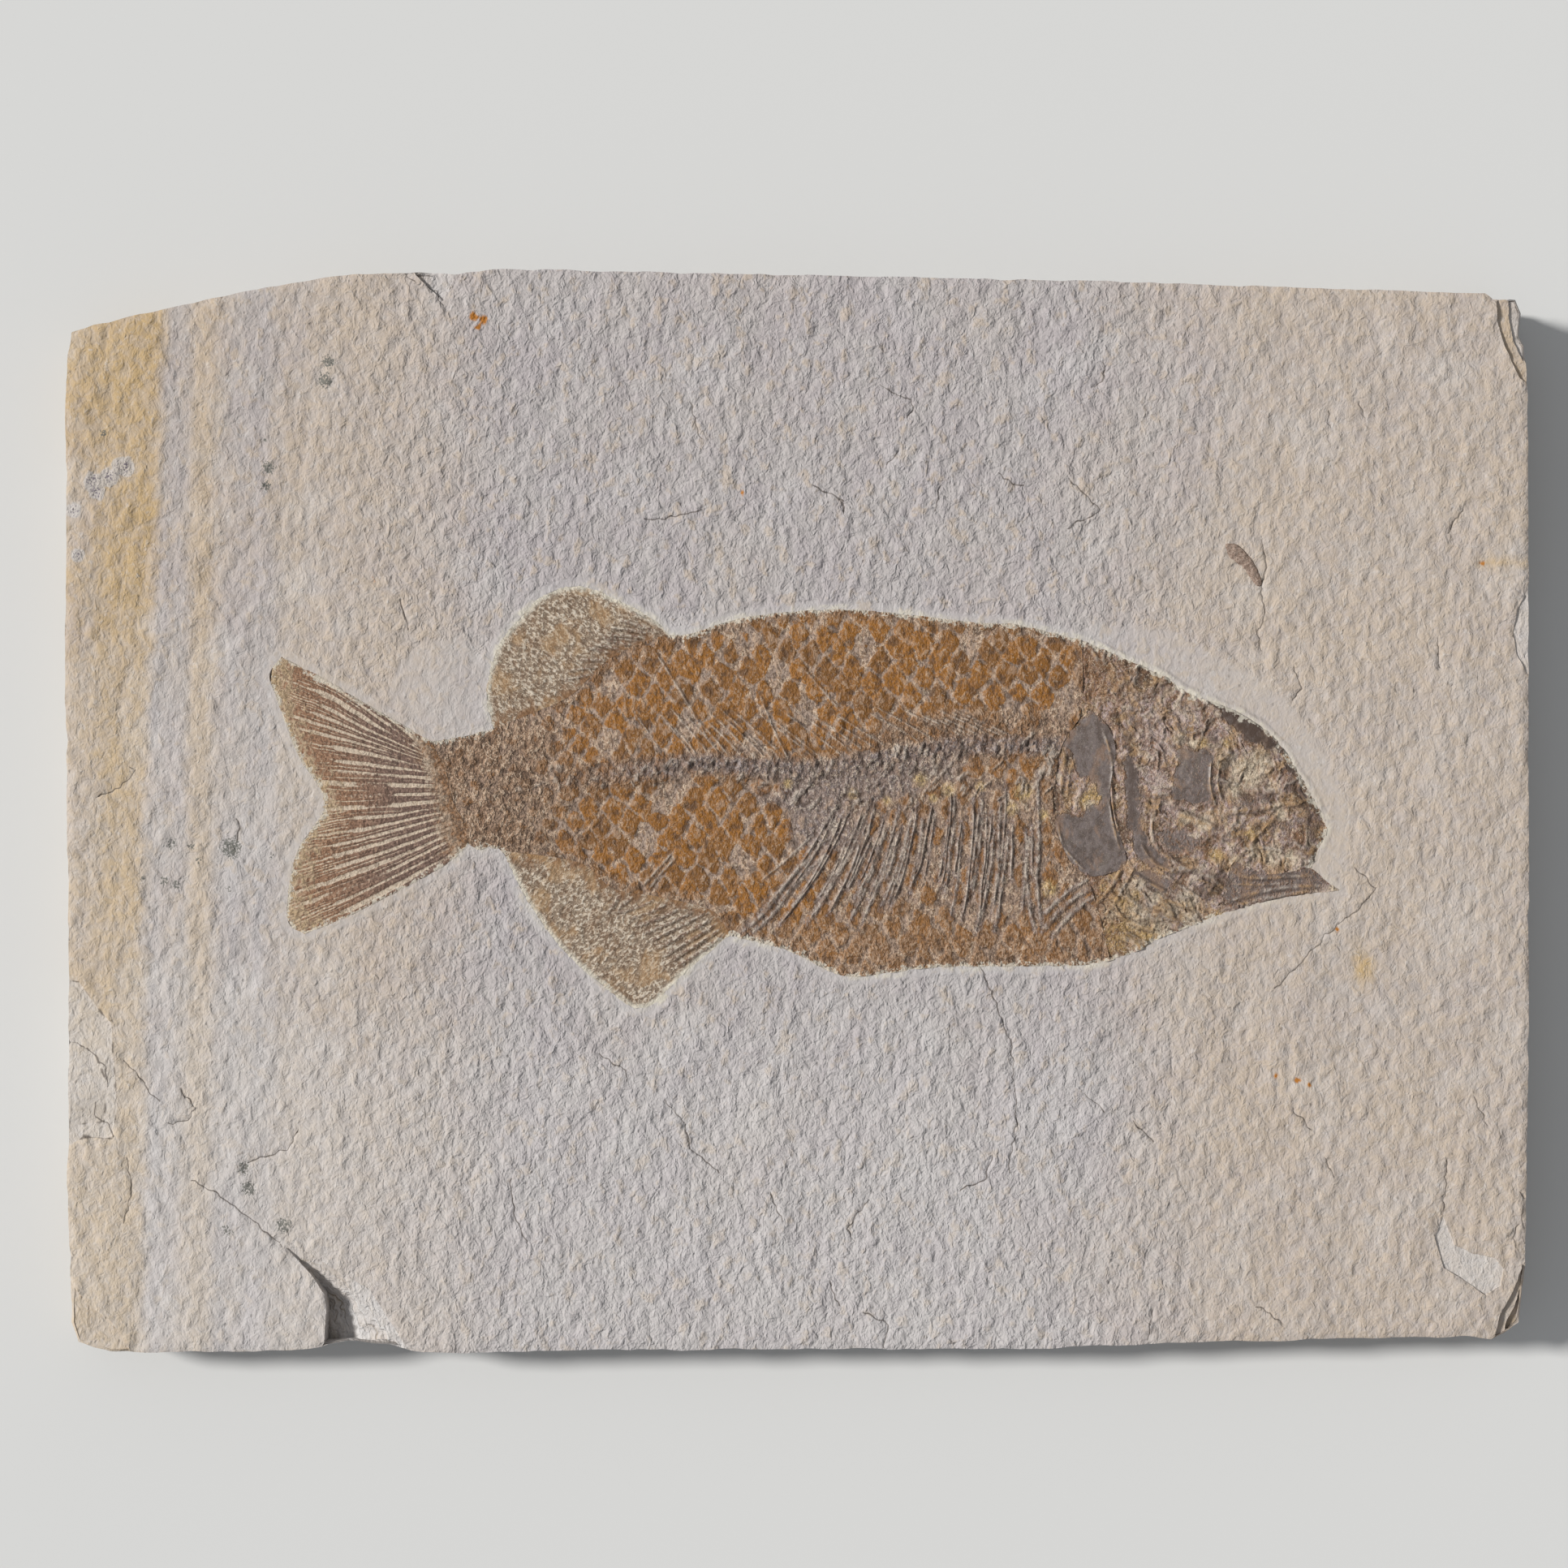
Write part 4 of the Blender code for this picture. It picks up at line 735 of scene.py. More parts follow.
def slab_face(x, y):
    """The height of the split face."""
    lean_x = x * math.cos(GRAIN_LEAN) - y * math.sin(GRAIN_LEAN)
    lean_y = x * math.sin(GRAIN_LEAN) + y * math.cos(GRAIN_LEAN)
    broad = swell(x, y, 13.0, 21) + 0.45 * swell(x, y, 5.6, 22)
    pebbles = (0.7 * swell(lean_x, 0.8 * lean_y, 2.2, 23)
               + 1.2 * (np.abs(swell(lean_x, 0.8 * lean_y, 3.6, 24)) - 0.35))
    rough = 1.0 - 0.7 * scraped(x, y)
    off_fish = reach(fish_loop, x, y, 14.0)
    near = eased(off_fish, 12.0, 1.0)
    pebbles = pebbles - PEBBLE_MEAN * near
    z = FACE_LEVEL - RIM_DEPTH * near + SWELL_HEIGHT * broad * rough * (1.0 - near)
    z = z + PEBBLE_HEIGHT * pebbles * rough
    z = z - WORN_EDGE * clipped(1.0 - reach(slab_loop, x, y, 1.6) / 1.6) ** 2

    beneath = inside(fish_loop, x, y)
    width = trough_width(x, y)
    share = np.where(beneath, 1.0, eased(off_fish, width, 0.35 * width))
    z = z + share * (FACE_LEVEL - RIM_DEPTH - z)
    tooled = clipped(0.5 + 1.1 * swell(x, y, 5.0, 28)) * eased(x, -70.0, -40.0)
    tooled = tooled * eased(width, 2.5, 5.0)
    z = z - 0.14 * tooled * np.exp(-(past_rim(off_fish, x, y) / 0.24) ** 2)
    z = z + (0.04 + 0.06 * swell(x, y, 1.6, 25)) * eased(off_fish, 4.0, 1.5)
    ridge = 0.16 * eased(x, 20.0, 50.0) * eased(y, 0.0, 15.0) * (~beneath)
    z = z + ridge * np.exp(-((off_fish - 0.75) / 0.4) ** 2)

    broken = clipped(0.55 + 0.8 * swell(x, y, 2.4, 26))
    for path in cracks:
        away, side, _ = measure(path, x, y, 1.6)
        z = z - CRACK_DEPTH * broken * clipped(1.0 - away / CRACK_WIDTH)
        z = z - 0.1 * broken * (side > 0) * (away < 1.6) * (1.0 - away / 1.6)
    for depth, outline in flakes:
        lost = inside(outline, x, y)
        z = np.where(lost, FACE_LEVEL - depth + 0.25 * broad + 0.07 * pebbles, z)
    z = np.where(inside(NOTCH, x, y), notch_level(x, y, FACE_LEVEL), z)
    z = np.where(inside(TOP_CHIP, x, y), chip_level(x, FACE_LEVEL + 0.1 * pebbles), z)
    z = np.where(beneath & (off_fish > 0.3), UNDER_FISH, z)
    return z


def slab_points():
    """Points of the face: an even grain, with rows along each edge, crack and flake."""
    rows = []
    for outline in breaks:
        rows.append(beside(outline, 0.09, 0.8, closed=True)[len(outline):])
    for path in cracks:
        rows.append(beside(path, CRACK_WIDTH, 0.55))
    for off in (-0.45, -0.15, 0.3, 0.75, 1.25, 1.5, 1.8, 2.3):
        rows.append(fish_loop + outward(fish_loop) * off)
    rows = np.vstack(rows)
    x, y = rows.T
    off_fish = reach(fish_loop, x, y, 3.0)
    from_side = reach(slab_loop, x, y, 1.0)
    held = inside(slab_loop, x, y) & (from_side > 0.25) & (off_fish > 0.1)
    rows = rows[held]

    x, y = lattice(slab_loop, *GRAIN_SPACING, 0.16, 17)
    keep = ~inside(fish_loop, x, y) & (reach(fish_loop, x, y, 2.8) > 2.6)
    keep &= reach(slab_loop, x, y, 0.7) > 0.6
    for outline in breaks:
        keep &= reach(outline, x, y, 0.5) > 0.45
    for path in cracks:
        keep &= reach(path, x, y, 0.7, closed=False) > 0.65
    face = np.column_stack([x[keep], y[keep]])
    x, y = lattice(fish_loop, UNDER_FISH_SPACING, UNDER_FISH_SPACING, 0.0, 3)
    deep = reach(fish_loop, x, y, 3.0) > 2.0
    return np.vstack([rows, face, np.column_stack([x[deep], y[deep]])])


def side_inset(loop, z, level):
    """How far each layer of the split side stands in, uneven along its length."""
    x, y = loop.T
    broad = 0.45 * swell(x + 3.1 * z, y - 2.3 * z, 21.0, 41)
    ledge = 0.42 * swell(x, y, 5.0, 42 + (level + 1) // 2) + 0.16 * swell(x, y, 1.9, 60 + level)
    depth = SIDE_INSET + broad + ledge
    return np.clip(depth * min(1.0, (FACE_LEVEL - z) / 1.2), 0.0, 2.2)


slab = skinned("slab", slab_loop, slab_points(), slab_face, LAYERS, side_inset)

x, y, z = plan_of(slab)
off_fish = np.where(inside(fish_loop, x, y), 0.0, reach(fish_loop, x, y, 14.0))
uneven = swell(x, y, 9.0, 71) + 0.6 * swell(x, y, 3.2, 72)
ochre_edge = -161.0 + 0.045 * np.maximum(y, 0.0) + 0.9 * uneven
ochre = eased(ochre_edge - x, -2.0, 2.6) * (0.9 + 0.2 * swell(x, y, 24.0, 73))
faded = eased(-171.0 - x + 2.2 * uneven, -1.0, 4.0) * eased(np.abs(y - 20.0), 75.0, 45.0)
ochre = ochre * (1.0 - 0.4 * faded)
bands = np.exp(-((x + 147.3) / 2.6) ** 2) * 0.95 + 0.45 * eased(x, -131.0, -126.0)
bands = (bands + 0.35) * eased(x, -60.0, -110.0)
bands = bands + 0.25 * swell(x, 0.12 * y, 3.2, 74) * eased(x, -95.0, -125.0)
warm = bands + eased(x + 10.0 * swell(x, y, 40.0, 75), 55.0, 120.0) * 0.85
warm = warm + 0.2 * swell(x, y, 30.0, 76)
smear = np.exp(-((x - 139.4) / 2.6) ** 2 - ((y + 38.2) / 4.0) ** 2)
stain(slab, "ochre", clipped(np.maximum.reduce([
    ochre,
    0.3 * np.exp(-((x + 147.3 - 0.03 * y) / 4.0) ** 2),
    0.7 * np.exp(-((y - 61.2) / 1.3) ** 2) * eased(x, 166.0, 171.0),
    inside(flakes[5][1], x, y) * (0.35 - 0.3 * inside(flakes[6][1], x, y)),
    smear * (1.1 + 0.5 * swell(x, y, 2.6, 65))])))
stain(slab, "warm", np.clip(warm, 0.0, 1.2))
# The "pale" stain: paler towards the lower left, painted light for the brighter light there, and
# paler stone in soft clouds and a fan
lower = eased(y + 12.0 * uneven, -30.0, -75.0) * eased(x, 110.0, 40.0)
lower = lower + 0.7 * eased(x + 8.0 * uneven, -100.0, -125.0) * eased(y, 60.0, 10.0)
cloud = eased(swell(x, y, 17.0, 77) + 0.5 * swell(x, y, 7.0, 78), 0.25, 0.9)
fan = np.exp(-((x + 123.5) / 8.0) ** 2 - ((y - 55.8) / 5.0) ** 2)
stain(slab, "pale", clipped(0.7 * lower + 0.45 * cloud + 0.8 * fan))
stain(slab, "rough", 1.0 - 0.38 * eased(np.abs(x + 5.0), 70.0, 125.0))

rim = eased(off_fish - 0.6 * swell(x, y, 4.5, 27), 1.5, 0.4)
at_head = eased(x, 40.0, 60.0) * eased(y, 0.0, 15.0)
kept = clipped(0.45 + 1.3 * swell(x, y, 13.0, 67)) * eased(x, -92.0, -72.0)
rim = rim * np.maximum(at_head, kept)
stain(slab, "rim", rim)
stain(slab, "scraped", scraped(x, y))
stain(slab, "tool line", np.exp(-(past_rim(off_fish, x, y) / 0.3) ** 2)
      * (swell(x, y, 5.0, 28) > -0.2) * eased(trough_width(x, y), 2.5, 5.0))
in_crack = np.zeros(x.shape)
for path in cracks:
    in_crack = np.maximum(in_crack, 1.0 - reach(path, x, y, 0.4, closed=False) / 0.4)
for _, outline in flakes[:2]:
    near = 1.0 - reach(outline, x, y, 0.6) / 0.6
    in_crack = np.maximum(in_crack, near * clipped(0.7 + 0.9 * swell(x, y, 3.0, 66)))
stain(slab, "crack", in_crack * (z > FACE_LEVEL - 3.0))
fresh = inside(NOTCH, x, y) * eased(x - 0.5 * y, -55.0, -48.0)
fresh = 0.6 * fresh * (0.7 + 0.4 * swell(x, y, 3.0, 64))
flake_paleness = {0: 0.35, 1: 0.35, 3: 0.35, 4: 0.45, 6: 0.4}
for outline, paleness in ([(TOP_CHIP, 0.25)]
                          + [(flakes[i][1], share) for i, share in flake_paleness.items()]):
    fresh = np.maximum(fresh, inside(outline, x, y) * paleness)
stain(slab, "fresh", fresh)


def spots(centres, x, y):
    """How near each point is to the nearest of some soft spots: (x, y, radius)."""
    most = np.zeros(x.shape)
    for cx, cy, radius in centres:
        most = np.maximum(most, eased(np.hypot(x - cx, y - cy), radius, 0.25 * radius))
    return most


# Small marks on the face: (x, y, radius)
MOSS = [(-115.5, 110.6, 3.0), (-116.5, 106.0, 3.6), (-130.5, 84.5, 3.2), (-131.0, 80.0, 2.6),
        (-154.1, -8.2, 2.4), (-149.3, -8.6, 1.8), (-147.7, -12.2, 1.8), (-139.5, -9.2, 5.0),
        (-129.5, -11.4, 1.4), (-161.5, -16.4, 1.6), (-156.3, -17.2, 2.2), (-153.3, -18.2, 2.2),
        (-140.1, -19.4, 1.6), (-136.5, -88.0, 3.0), (-135.5, -93.0, 3.4), (-126.5, -102.2, 3.6),
        (-140.5, -103.5, 2.6), (-171.0, 93.0, 2.0), (-131.5, 91.5, 1.6)]
RUST = [(-79.9, 121.8, 1.7), (-77.4, 121.2, 1.7), (-78.8, 119.2, 1.2), (-13.5, 78.0, 0.9),
        (168.7, 61.2, 1.0), (-104.6, 57.0, 0.8),
        (118.0, -65.4, 0.9), (123.1, -66.4, 1.3), (126.2, -67.6, 0.9), (133.0, -29.0, 0.7)]
BLEACH = [(-166.0, 84.6, 4.0), (-169.5, 82.2, 3.4), (-173.5, 80.8, 3.6), (-178.5, 74.0, 3.0),
          (-172.5, 78.4, 3.0), (-177.5, 63.0, 2.6), (26.3, 72.0, 1.0)]
on_face = eased(z, FACE_LEVEL - 2.0, FACE_LEVEL - 1.0)
for name, centres in (("moss", MOSS), ("rust", RUST), ("bleach", BLEACH)):
    stain(slab, name, spots(centres, x, y) * on_face)
stain(slab, "side", eased(z, FACE_LEVEL - 0.5, FACE_LEVEL - 1.4))

STONE = srgb(175, 169, 167)
STONE_WARM = srgb(184, 169, 153)
STONE_OCHRE = srgb(184, 158, 118)
STONE_LILAC = srgb(168, 160, 162)
STONE_PALE = srgb(203, 201, 200)
STONE_PEACH = srgb(182, 166, 148)
STONE_RIM = srgb(204, 197, 182)
STONE_BLEACHED = srgb(188, 184, 182)
MOSS_GREY = srgb(104, 104, 98)
BLEACH_SPECK = srgb(112, 104, 112)
RUST_BROWN = srgb(172, 112, 48)
CRACK_GREY = srgb(88, 80, 74)
BED_BROWN = srgb(146, 132, 112)
RELIEF_MEAN = 0.82         # taken off the fine relief, so that smoothing it leaves no step
BEDS_PER_METRE = (16.0, 16.0, 620.0)

stone, tree, shader = new_finish("limestone")
grain, fine, pits = use_grit(tree, 1.2, 1.6, GRAIN_LEAN)
dust, _, _ = use_grit(tree, 2.3, 3.0, GRAIN_LEAN)
blotch, blotch_fine, _ = use_grit(tree, 11.0, 14.0, GRAIN_LEAN)
place = put(tree, "ShaderNodeTexCoord").outputs["Object"]
stretched = put(tree, "ShaderNodeVectorMath", {0: place, 1: BEDS_PER_METRE},
                operation="MULTIPLY").outputs[0]
beds = put(tree, "ShaderNodeTexNoise", {"Vector": stretched, "Scale": 1.0, "Detail": 3.0,
                                        "Roughness": 0.65}).outputs["Fac"]
side, scrape, moss, bleach = [field(tree, name) for name in ("side", "scraped", "moss", "bleach")]
bleach_specks = times(ramp(plus(fine, times(bleach, 0.22)), 0.72, 0.8), bleach)
moss_specks = times(ramp(plus(times(moss, 0.4), fine), 0.77, 0.89), ramp(moss, 0.0, 0.3))
colour = coated(
    STONE,
    (times(ramp(plus(blotch, times(dust, 0.5)), 0.62, 0.9), 0.55), STONE_LILAC),
    (ramp(plus(blotch_fine, times(dust, 0.7)), 0.9, 1.08, 0.0, 0.6), STONE_PEACH),
    (patchy("warm", dust, 0.3, 0.7, 0.55, 1.1), STONE_WARM),
    (patchy("ochre", dust, 0.36, 0.64, 0.62, 1.0), STONE_OCHRE),
    (ramp(grain, 0.42, 0.25, 0.0, 0.28), STONE_LILAC),
    (ramp(grain, 0.55, 0.75, 0.0, 0.3), STONE_PALE),
    (times(scrape, 0.12), STONE_PALE),
    # Painted light towards the lower left, with paler stone in soft clouds and a fan
    (times(field(tree, "pale"), 0.35), STONE_PALE),
    (patchy("rim", dust, 0.4, 0.6, 0.2, 0.9), STONE_RIM),
    (field(tree, "fresh"), STONE_PALE),
    (times(ramp(plus(bleach, times(dust, 1.6)), 1.0, 1.35), 0.7), STONE_BLEACHED),
    (times(bleach_specks, 0.95), BLEACH_SPECK),
    (times(moss_specks, 0.9), MOSS_GREY),
    (ramp(plus(field(tree, "rust"), times(fine, 0.7)), 0.55, 1.1), RUST_BROWN),
    (times(ramp(beds, 0.5, 0.38, 0.0, 0.7), side), BED_BROWN),
    (times(ramp(beds, 0.54, 0.64, 0.0, 0.6), side), STONE_PALE),
    (times(pits, 0.35), CRACK_GREY),
    (times(field(tree, "tool line"), 0.2), CRACK_GREY),
    (times(ramp(plus(field(tree, "crack"), dust), 0.95, 1.35), 0.75), CRACK_GREY))
pebble = reckoned("ABSOLUTE", minus(grain, 0.5))
relief = mixed((grain, 0.2), (fine, 0.07), (pebble, 0.55), (dust, 1.3), (pits, -0.08))
relief = times(minus(relief, RELIEF_MEAN), ramp(scrape, 0.0, 1.0, 1.0, 0.5))
relief = plus(times(relief, field(tree, "rough")), times(times(beds, 2.2), side))
finish_off(shader, colour, ramp(scrape, 0.0, 1.0, 0.92, 0.8), 0.25, relief)
set_piece(slab, stone, "limestone", "limestone_slab")

# ---- The scaled flank --------------------------------------------------------------------
# The fish's body, flattened to a film of bone a millimetre or so thick. Its scales lie in
# offset rows, orange-brown where they are whole, and the backbone and ribs press through.
BODY_EDGE = -0.22          # the margin, measured from the face
BODY_RISE = 1.1            # how much the middle stands above the margin
BODY_SLOPE = 20.0
FISH_BED = 16.0            # the underside of everything of the fish
BONE_SPACING = (0.385, 0.335)
BONE_STEP = 0.42           # from one point of an outline to the next
SCALE_LENGTH = 6.6         # one scale along the body
SCALE_ROW = 4.6            # from one row of scales to the next
SCALE_LIFT = 0.26
VERTEBRA_LENGTH = 2.8
RIB_COUNT = 17
RIB_BOW = 1.8
RIB_HEADS = (11.0, 4.0), (60.0, 10.0)       # rearmost and foremost rib, at the backbone
RIB_TIPS = (-9.0, -29.0), (62.0, -32.0)     # the same two ribs at the belly
BACKBONE = [(-82.0, 5.2), (-56.5, 8.2), (-22.5, 11.6), (6.5, 9.8), (26.5, 14.0),
            (36.7, 16.0), (61.0, 16.0)]
NECK_TOP = [(69.9, 42.2), (70.3, 31.8), (69.5, 22.8)]
GILL_REAR = [(69.5, 22.8), (65.1, 16.0), (63.5, 7.8), (63.1, -1.6), (66.5, -11.4),
             (71.3, -16.2)]
NECK_LOW = [(71.3, -16.2), (73.9, -24.2), (77.1, -37.0)]

# Yellow scraps of bone among the ribs: (x, y, radius)
FLANK_GOLD = [(30.3, 7.7, 2.6), (37.3, 5.2, 2.6), (13.7, 4.2, 2.0), (55.7, 4.6, 3.4),
              (52.7, 0.6, 2.4), (-2.3, 6.6, 1.8), (61.9, -19.2, 3.0), (60.5, -1.0, 2.0),
              (33.5, 3.0, 1.6), (45.0, 6.0, 1.8), (22.0, 2.4, 1.6)]
LUMP = (9.9, 20.8)         # one stray round bone
# Fine bones between the muscles: (path, half width, height)
FLANK_BONES = [
    ([(-35.7, 40.2), (-26.5, 25.6), (-21.7, 17.0)], 0.3, 0.25),
    ([(-9.5, 29.0), (-5.1, 18.4), (-1.7, 11.6)], 0.3, 0.25),
    ([(1.7, 34.8), (11.3, 23.8)], 0.3, 0.22),
    ([(38.7, 12.6), (30.5, 4.0)], 0.42, 0.3),
    ([(57.9, -4.0), (56.3, -12.0), (56.9, -21.6), (58.5, -29.8)], 0.42, 0.34),
    ([(60.0, -4.0), (59.0, -12.0), (59.2, -21.0), (60.3, -28.8)], 0.42, 0.34),
    ([(7.1, -7.2), (-1.5, -16.4), (-8.5, -25.4), (-14.5, -30.2)], 0.45, 0.32),
    ([(8.8, -8.6), (0.5, -17.2), (-6.5, -25.8), (-12.0, -30.6)], 0.4, 0.3),
    ([(4.5, -5.4), (-3.5, -12.6), (-9.5, -17.6)], 0.35, 0.26),
    ([(-29.5, -11.2), (-32.5, -14.2), (-36.5, -19.2)], 0.35, 0.26),
    ([(-30.5, -10.0), (-38.5, -18.8)], 0.35, 0.26),
    ([(75.1, -17.4), (66.5, -22.8), (60.1, -29.8)], 0.5, 0.34),
    ([(73.8, -15.6), (66.0, -20.4), (60.0, -26.0)], 0.42, 0.3),
    ([(73.9, -20.4), (67.5, -25.2), (62.4, -31.4)], 0.42, 0.3),
]


def body_loop(spacing):
    upper = [smooth(c, spacing) for c in (PEDUNCLE_TOP, DORSAL_BASE, BACK, CROWN)]
    lower = [smooth(c, spacing) for c in (JAW_UNDER, THROAT, BELLY, ANAL_BASE, PEDUNCLE_LOW,
                                          TAIL_ROOT)]
    return loop_of(*upper, straight(JAW_FRONT, spacing), *lower)


body_edge = body_loop(2.5)


def body_top(x, y):
    share = clipped(reach(body_edge, x, y, BODY_SLOPE) / BODY_SLOPE)
    return FACE_LEVEL + BODY_EDGE + BODY_RISE * (1.0 - (1.0 - share) ** 2)


def cells(s, t, pitch, row, squash, nudge, seed):
    """Offset cells over the plane. For each point: how far inside its cell it is, how far off
    the cell's middle, that as a step across and along, and two numbers of the cell's own."""
    dice = np.random.RandomState(seed)
    tables = dice.uniform(-1.0, 1.0, (4, 64, 64))
    best, second = np.full(s.shape, 1e3), np.full(s.shape, 1e3)
    own = np.zeros((4, *s.shape))
    near_row = np.round(t / row).astype(int)
    for dj in (-1, 0, 1):
        j = near_row + dj
        shift = 0.5 * (j % 2)
        near_column = np.round(s / pitch - shift).astype(int)
        for di in (-1, 0, 1):
            i = near_column + di
            dx = s - (i + shift) * pitch - nudge * tables[0][i % 64, j % 64]
            dy = (t - j * row - nudge * tables[1][i % 64, j % 64]) / squash
            gap = np.hypot(dx, dy)
            closer = gap < best
            second = np.where(closer, best, np.minimum(second, gap))
            best = np.where(closer, gap, best)
            chosen = (dx, dy, tables[2][i % 64, j % 64], tables[3][i % 64, j % 64])
            own = np.where(closer, chosen, own)
    return (second - best) / 2, best, own[0], own[1], own[2] * 0.5 + 0.5, own[3] * 0.5 + 0.5


def raised(lines, x, y):
    """Bones that stand out as lines: their height, how pale they are, and how dark beside them:
    painted shadow on the side away from the lamp, and a fainter dark line on the lamp side.
    """
    lift, pale, dark = np.zeros(x.shape), np.zeros(x.shape), np.zeros(x.shape)
    for path, width, rise in lines:
        away, side, along = measure(smooth(path, 1.2), x, y, 4.0 * width)
        near = np.flatnonzero(away < 4.0 * width)
        off, turn, share = away[near], side[near], along[near]
        taper = clipped(9.0 * share) * clipped(9.0 * (1.0 - share))
        body = clipped(1.0 - (off / (width * (0.5 + 0.5 * taper))) ** 2)
        lift[near] = np.maximum(lift[near], rise * taper * body ** 0.7)
        pale[near] = np.maximum(pale[near], taper * body)
        # Painted shadow along the side away from the lamp, and a fainter dark line on the lamp side
        shadow_and_line = np.exp(-((off * turn - 1.5 * width) / (0.6 * width)) ** 2)
        shadow_and_line = shadow_and_line + 0.45 * np.exp(-((off * turn + 1.6 * width) / (0.4 * width)) ** 2)
        dark[near] = np.maximum(dark[near], taper * shadow_and_line)
    return lift, pale, dark


def bone_points(loop, lines, seed):
    """Close points in an outline, with rows along each raised line."""
    rows = [beside(smooth(path, 1.2), 0.85 * width, BONE_STEP) for path, width, _ in lines]
    rows = np.vstack(rows) if rows else np.zeros((0, 2))
    held = inside(loop, *rows.T) & (reach(loop, *rows.T, 0.5) > 0.25) if len(rows) else []
    rows = rows[held] if len(rows) else rows
    x, y = lattice(loop, *BONE_SPACING, 0.05, seed)
    keep = reach(loop, x, y, 0.4) > 0.22
    for path, width, _ in lines:
        keep &= reach(smooth(path, 1.2), x, y, width + 0.2, closed=False) > width + 0.12
    return np.vstack([rows, np.column_stack([x[keep], y[keep]])])


def slivers(area, count, seed, lean, stray, length, rise):
    """Splinters of crushed bone. Neighbours lie nearly alike, about the given lean."""
    dice = np.random.RandomState(seed)
    area = np.asarray(area, float)
    found = []
    while len(found) < count:
        spot = dice.uniform(area.min(axis=0), area.max(axis=0))
        if not inside(area, spot[:1], spot[1:])[0]:
            continue
        path, step = [spot], dice.uniform(*length) / 4
        for _ in range(4):
            px, py = path[-1][:1], path[-1][1:]
            turn = lean + stray * (swell(px, py, 9.0, seed) + 0.6 * swell(px, py, 3.6, seed + 1))[0]
            path.append(path[-1] + step * np.array([math.cos(turn), math.sin(turn)]))
        found.append((path, 0.25 + 0.65 * dice.uniform() ** 2, dice.uniform(*rise)))
    return found


def bundled(lines, x, y, width):
    """How near each point lies to one of the lines, 1 on it and 0 at the width."""
    most = np.zeros(x.shape)
    for path, _, _ in lines:
        away = reach(smooth(path, 1.2), x, y, width, closed=False)
        most = np.maximum(most, eased(away, width, 0.3 * width))
    return most


def stain_margin(piece):
    x, y, _ = plan_of(piece)
    stain(piece, "margin", reach(fish_loop, x, y, 4.0))


def frayed(colour):
    """The torn margin, where pale stone shows through the thin bone."""
    tree = colour.id_data
    grain, _, _ = use_grit(tree, 0.7, 0.7)
    dust, _, _ = use_grit(tree, 2.2, 2.2)
    torn = plus(times(grain, 4.0), times(dust, 5.0))
    torn = plus(torn, field(tree, "margin"))
    return coat(ramp(torn, 5.3, 4.8, 0.0, 0.7), colour, STONE_RIM)


def ribs():
    """Each rib lies as a little sheaf of strands, and they bow less towards the head."""
    dice = np.random.RandomState(7)
    sheaf = []
    for i in range(RIB_COUNT):
        share = i / (RIB_COUNT - 1)
        upper = np.array(RIB_HEADS[0]) + (np.array(RIB_HEADS[1]) - RIB_HEADS[0]) * share
        lower = np.array(RIB_TIPS[0]) + (np.array(RIB_TIPS[1]) - RIB_TIPS[0]) * share ** 0.85
        for strand in (-0.95, -0.1, 0.8):
            first, last = dice.uniform(0.02, 0.35), dice.uniform(0.6, 1.0)
            steps = np.linspace(first, last, 6)[:, None]
            path = upper + (lower - upper) * steps
            path[:, 0] += RIB_BOW * (1.0 - share) * np.sin(np.pi * steps[:, 0])
            turn = dice.uniform(-1.6, 1.6)
            path[:, 0] += strand + 0.2 * dice.uniform(-1.0, 1.0, 6) - 2.5 * steps[:, 0] ** 2
            path[:, 0] += turn * (steps[:, 0] - 0.5)
            if dice.uniform() < 0.85:
                sheaf.append((path, dice.uniform(0.22, 0.5), dice.uniform(0.24, 0.5)))
    return sheaf


def back_spines():
    """Thin bones above the backbone, leaning back towards the tail."""
    dice = np.random.RandomState(19)
    spines = []
    for foot in np.arange(-32.0, 54.0, 2.6):
        foot = foot + dice.uniform(-0.9, 0.9)
        base = np.interp(foot, *np.transpose(BACKBONE)) + 2.2
        length = dice.uniform(7.0, 15.0) * (0.75 if foot > 20.0 else 1.0)
        lean = 0.55 + 0.012 * (foot + 30.0)
        steps = np.linspace(0.0, 1.0, 5)
        path = np.column_stack([foot - lean * length * steps - 1.2 * steps ** 2,
                                base + length * steps * (1.0 - 0.15 * lean)])
        if dice.uniform() < 0.72:
            spines.append((path, dice.uniform(0.2, 0.28), dice.uniform(0.12, 0.24)))
    return spines


def bone_curve(points):
    return smooth(points, BONE_STEP)


trunk_loop = loop_of(*map(bone_curve, (PEDUNCLE_TOP, DORSAL_BASE, BACK, NECK_TOP, GILL_REAR,
                                       NECK_LOW, BELLY, ANAL_BASE, PEDUNCLE_LOW, TAIL_ROOT)))
rib_lines = ribs()
flank_lines = FLANK_BONES + rib_lines + back_spines()
HEAP = [(-7.0, 3.0), (8.0, 9.0), (28.0, 15.0), (62.0, 17.0), (62.0, 3.0), (44.0, 1.0),
        (8.0, -9.0)]
REAR_SPINE = [(-70.0, 3.0), (-20.0, 7.0), (-5.0, 4.0), (-5.0, 13.0), (-70.0, 10.0)]
flank_slivers = (slivers(HEAP, 70, 141, 0.9, 0.7, (2.0, 5.5), (0.2, 0.45))
                 + slivers(REAR_SPINE, 36, 143, 1.2, 1.6, (1.5, 3.5), (0.15, 0.3)))
TOP_LINE = np.transpose(PEDUNCLE_TOP[:-1] + DORSAL_BASE[:-1] + BACK)
LOW_LINE = np.transpose(PEDUNCLE_LOW[::-1][:-1] + ANAL_BASE[::-1][:-1] + BELLY[::-1])


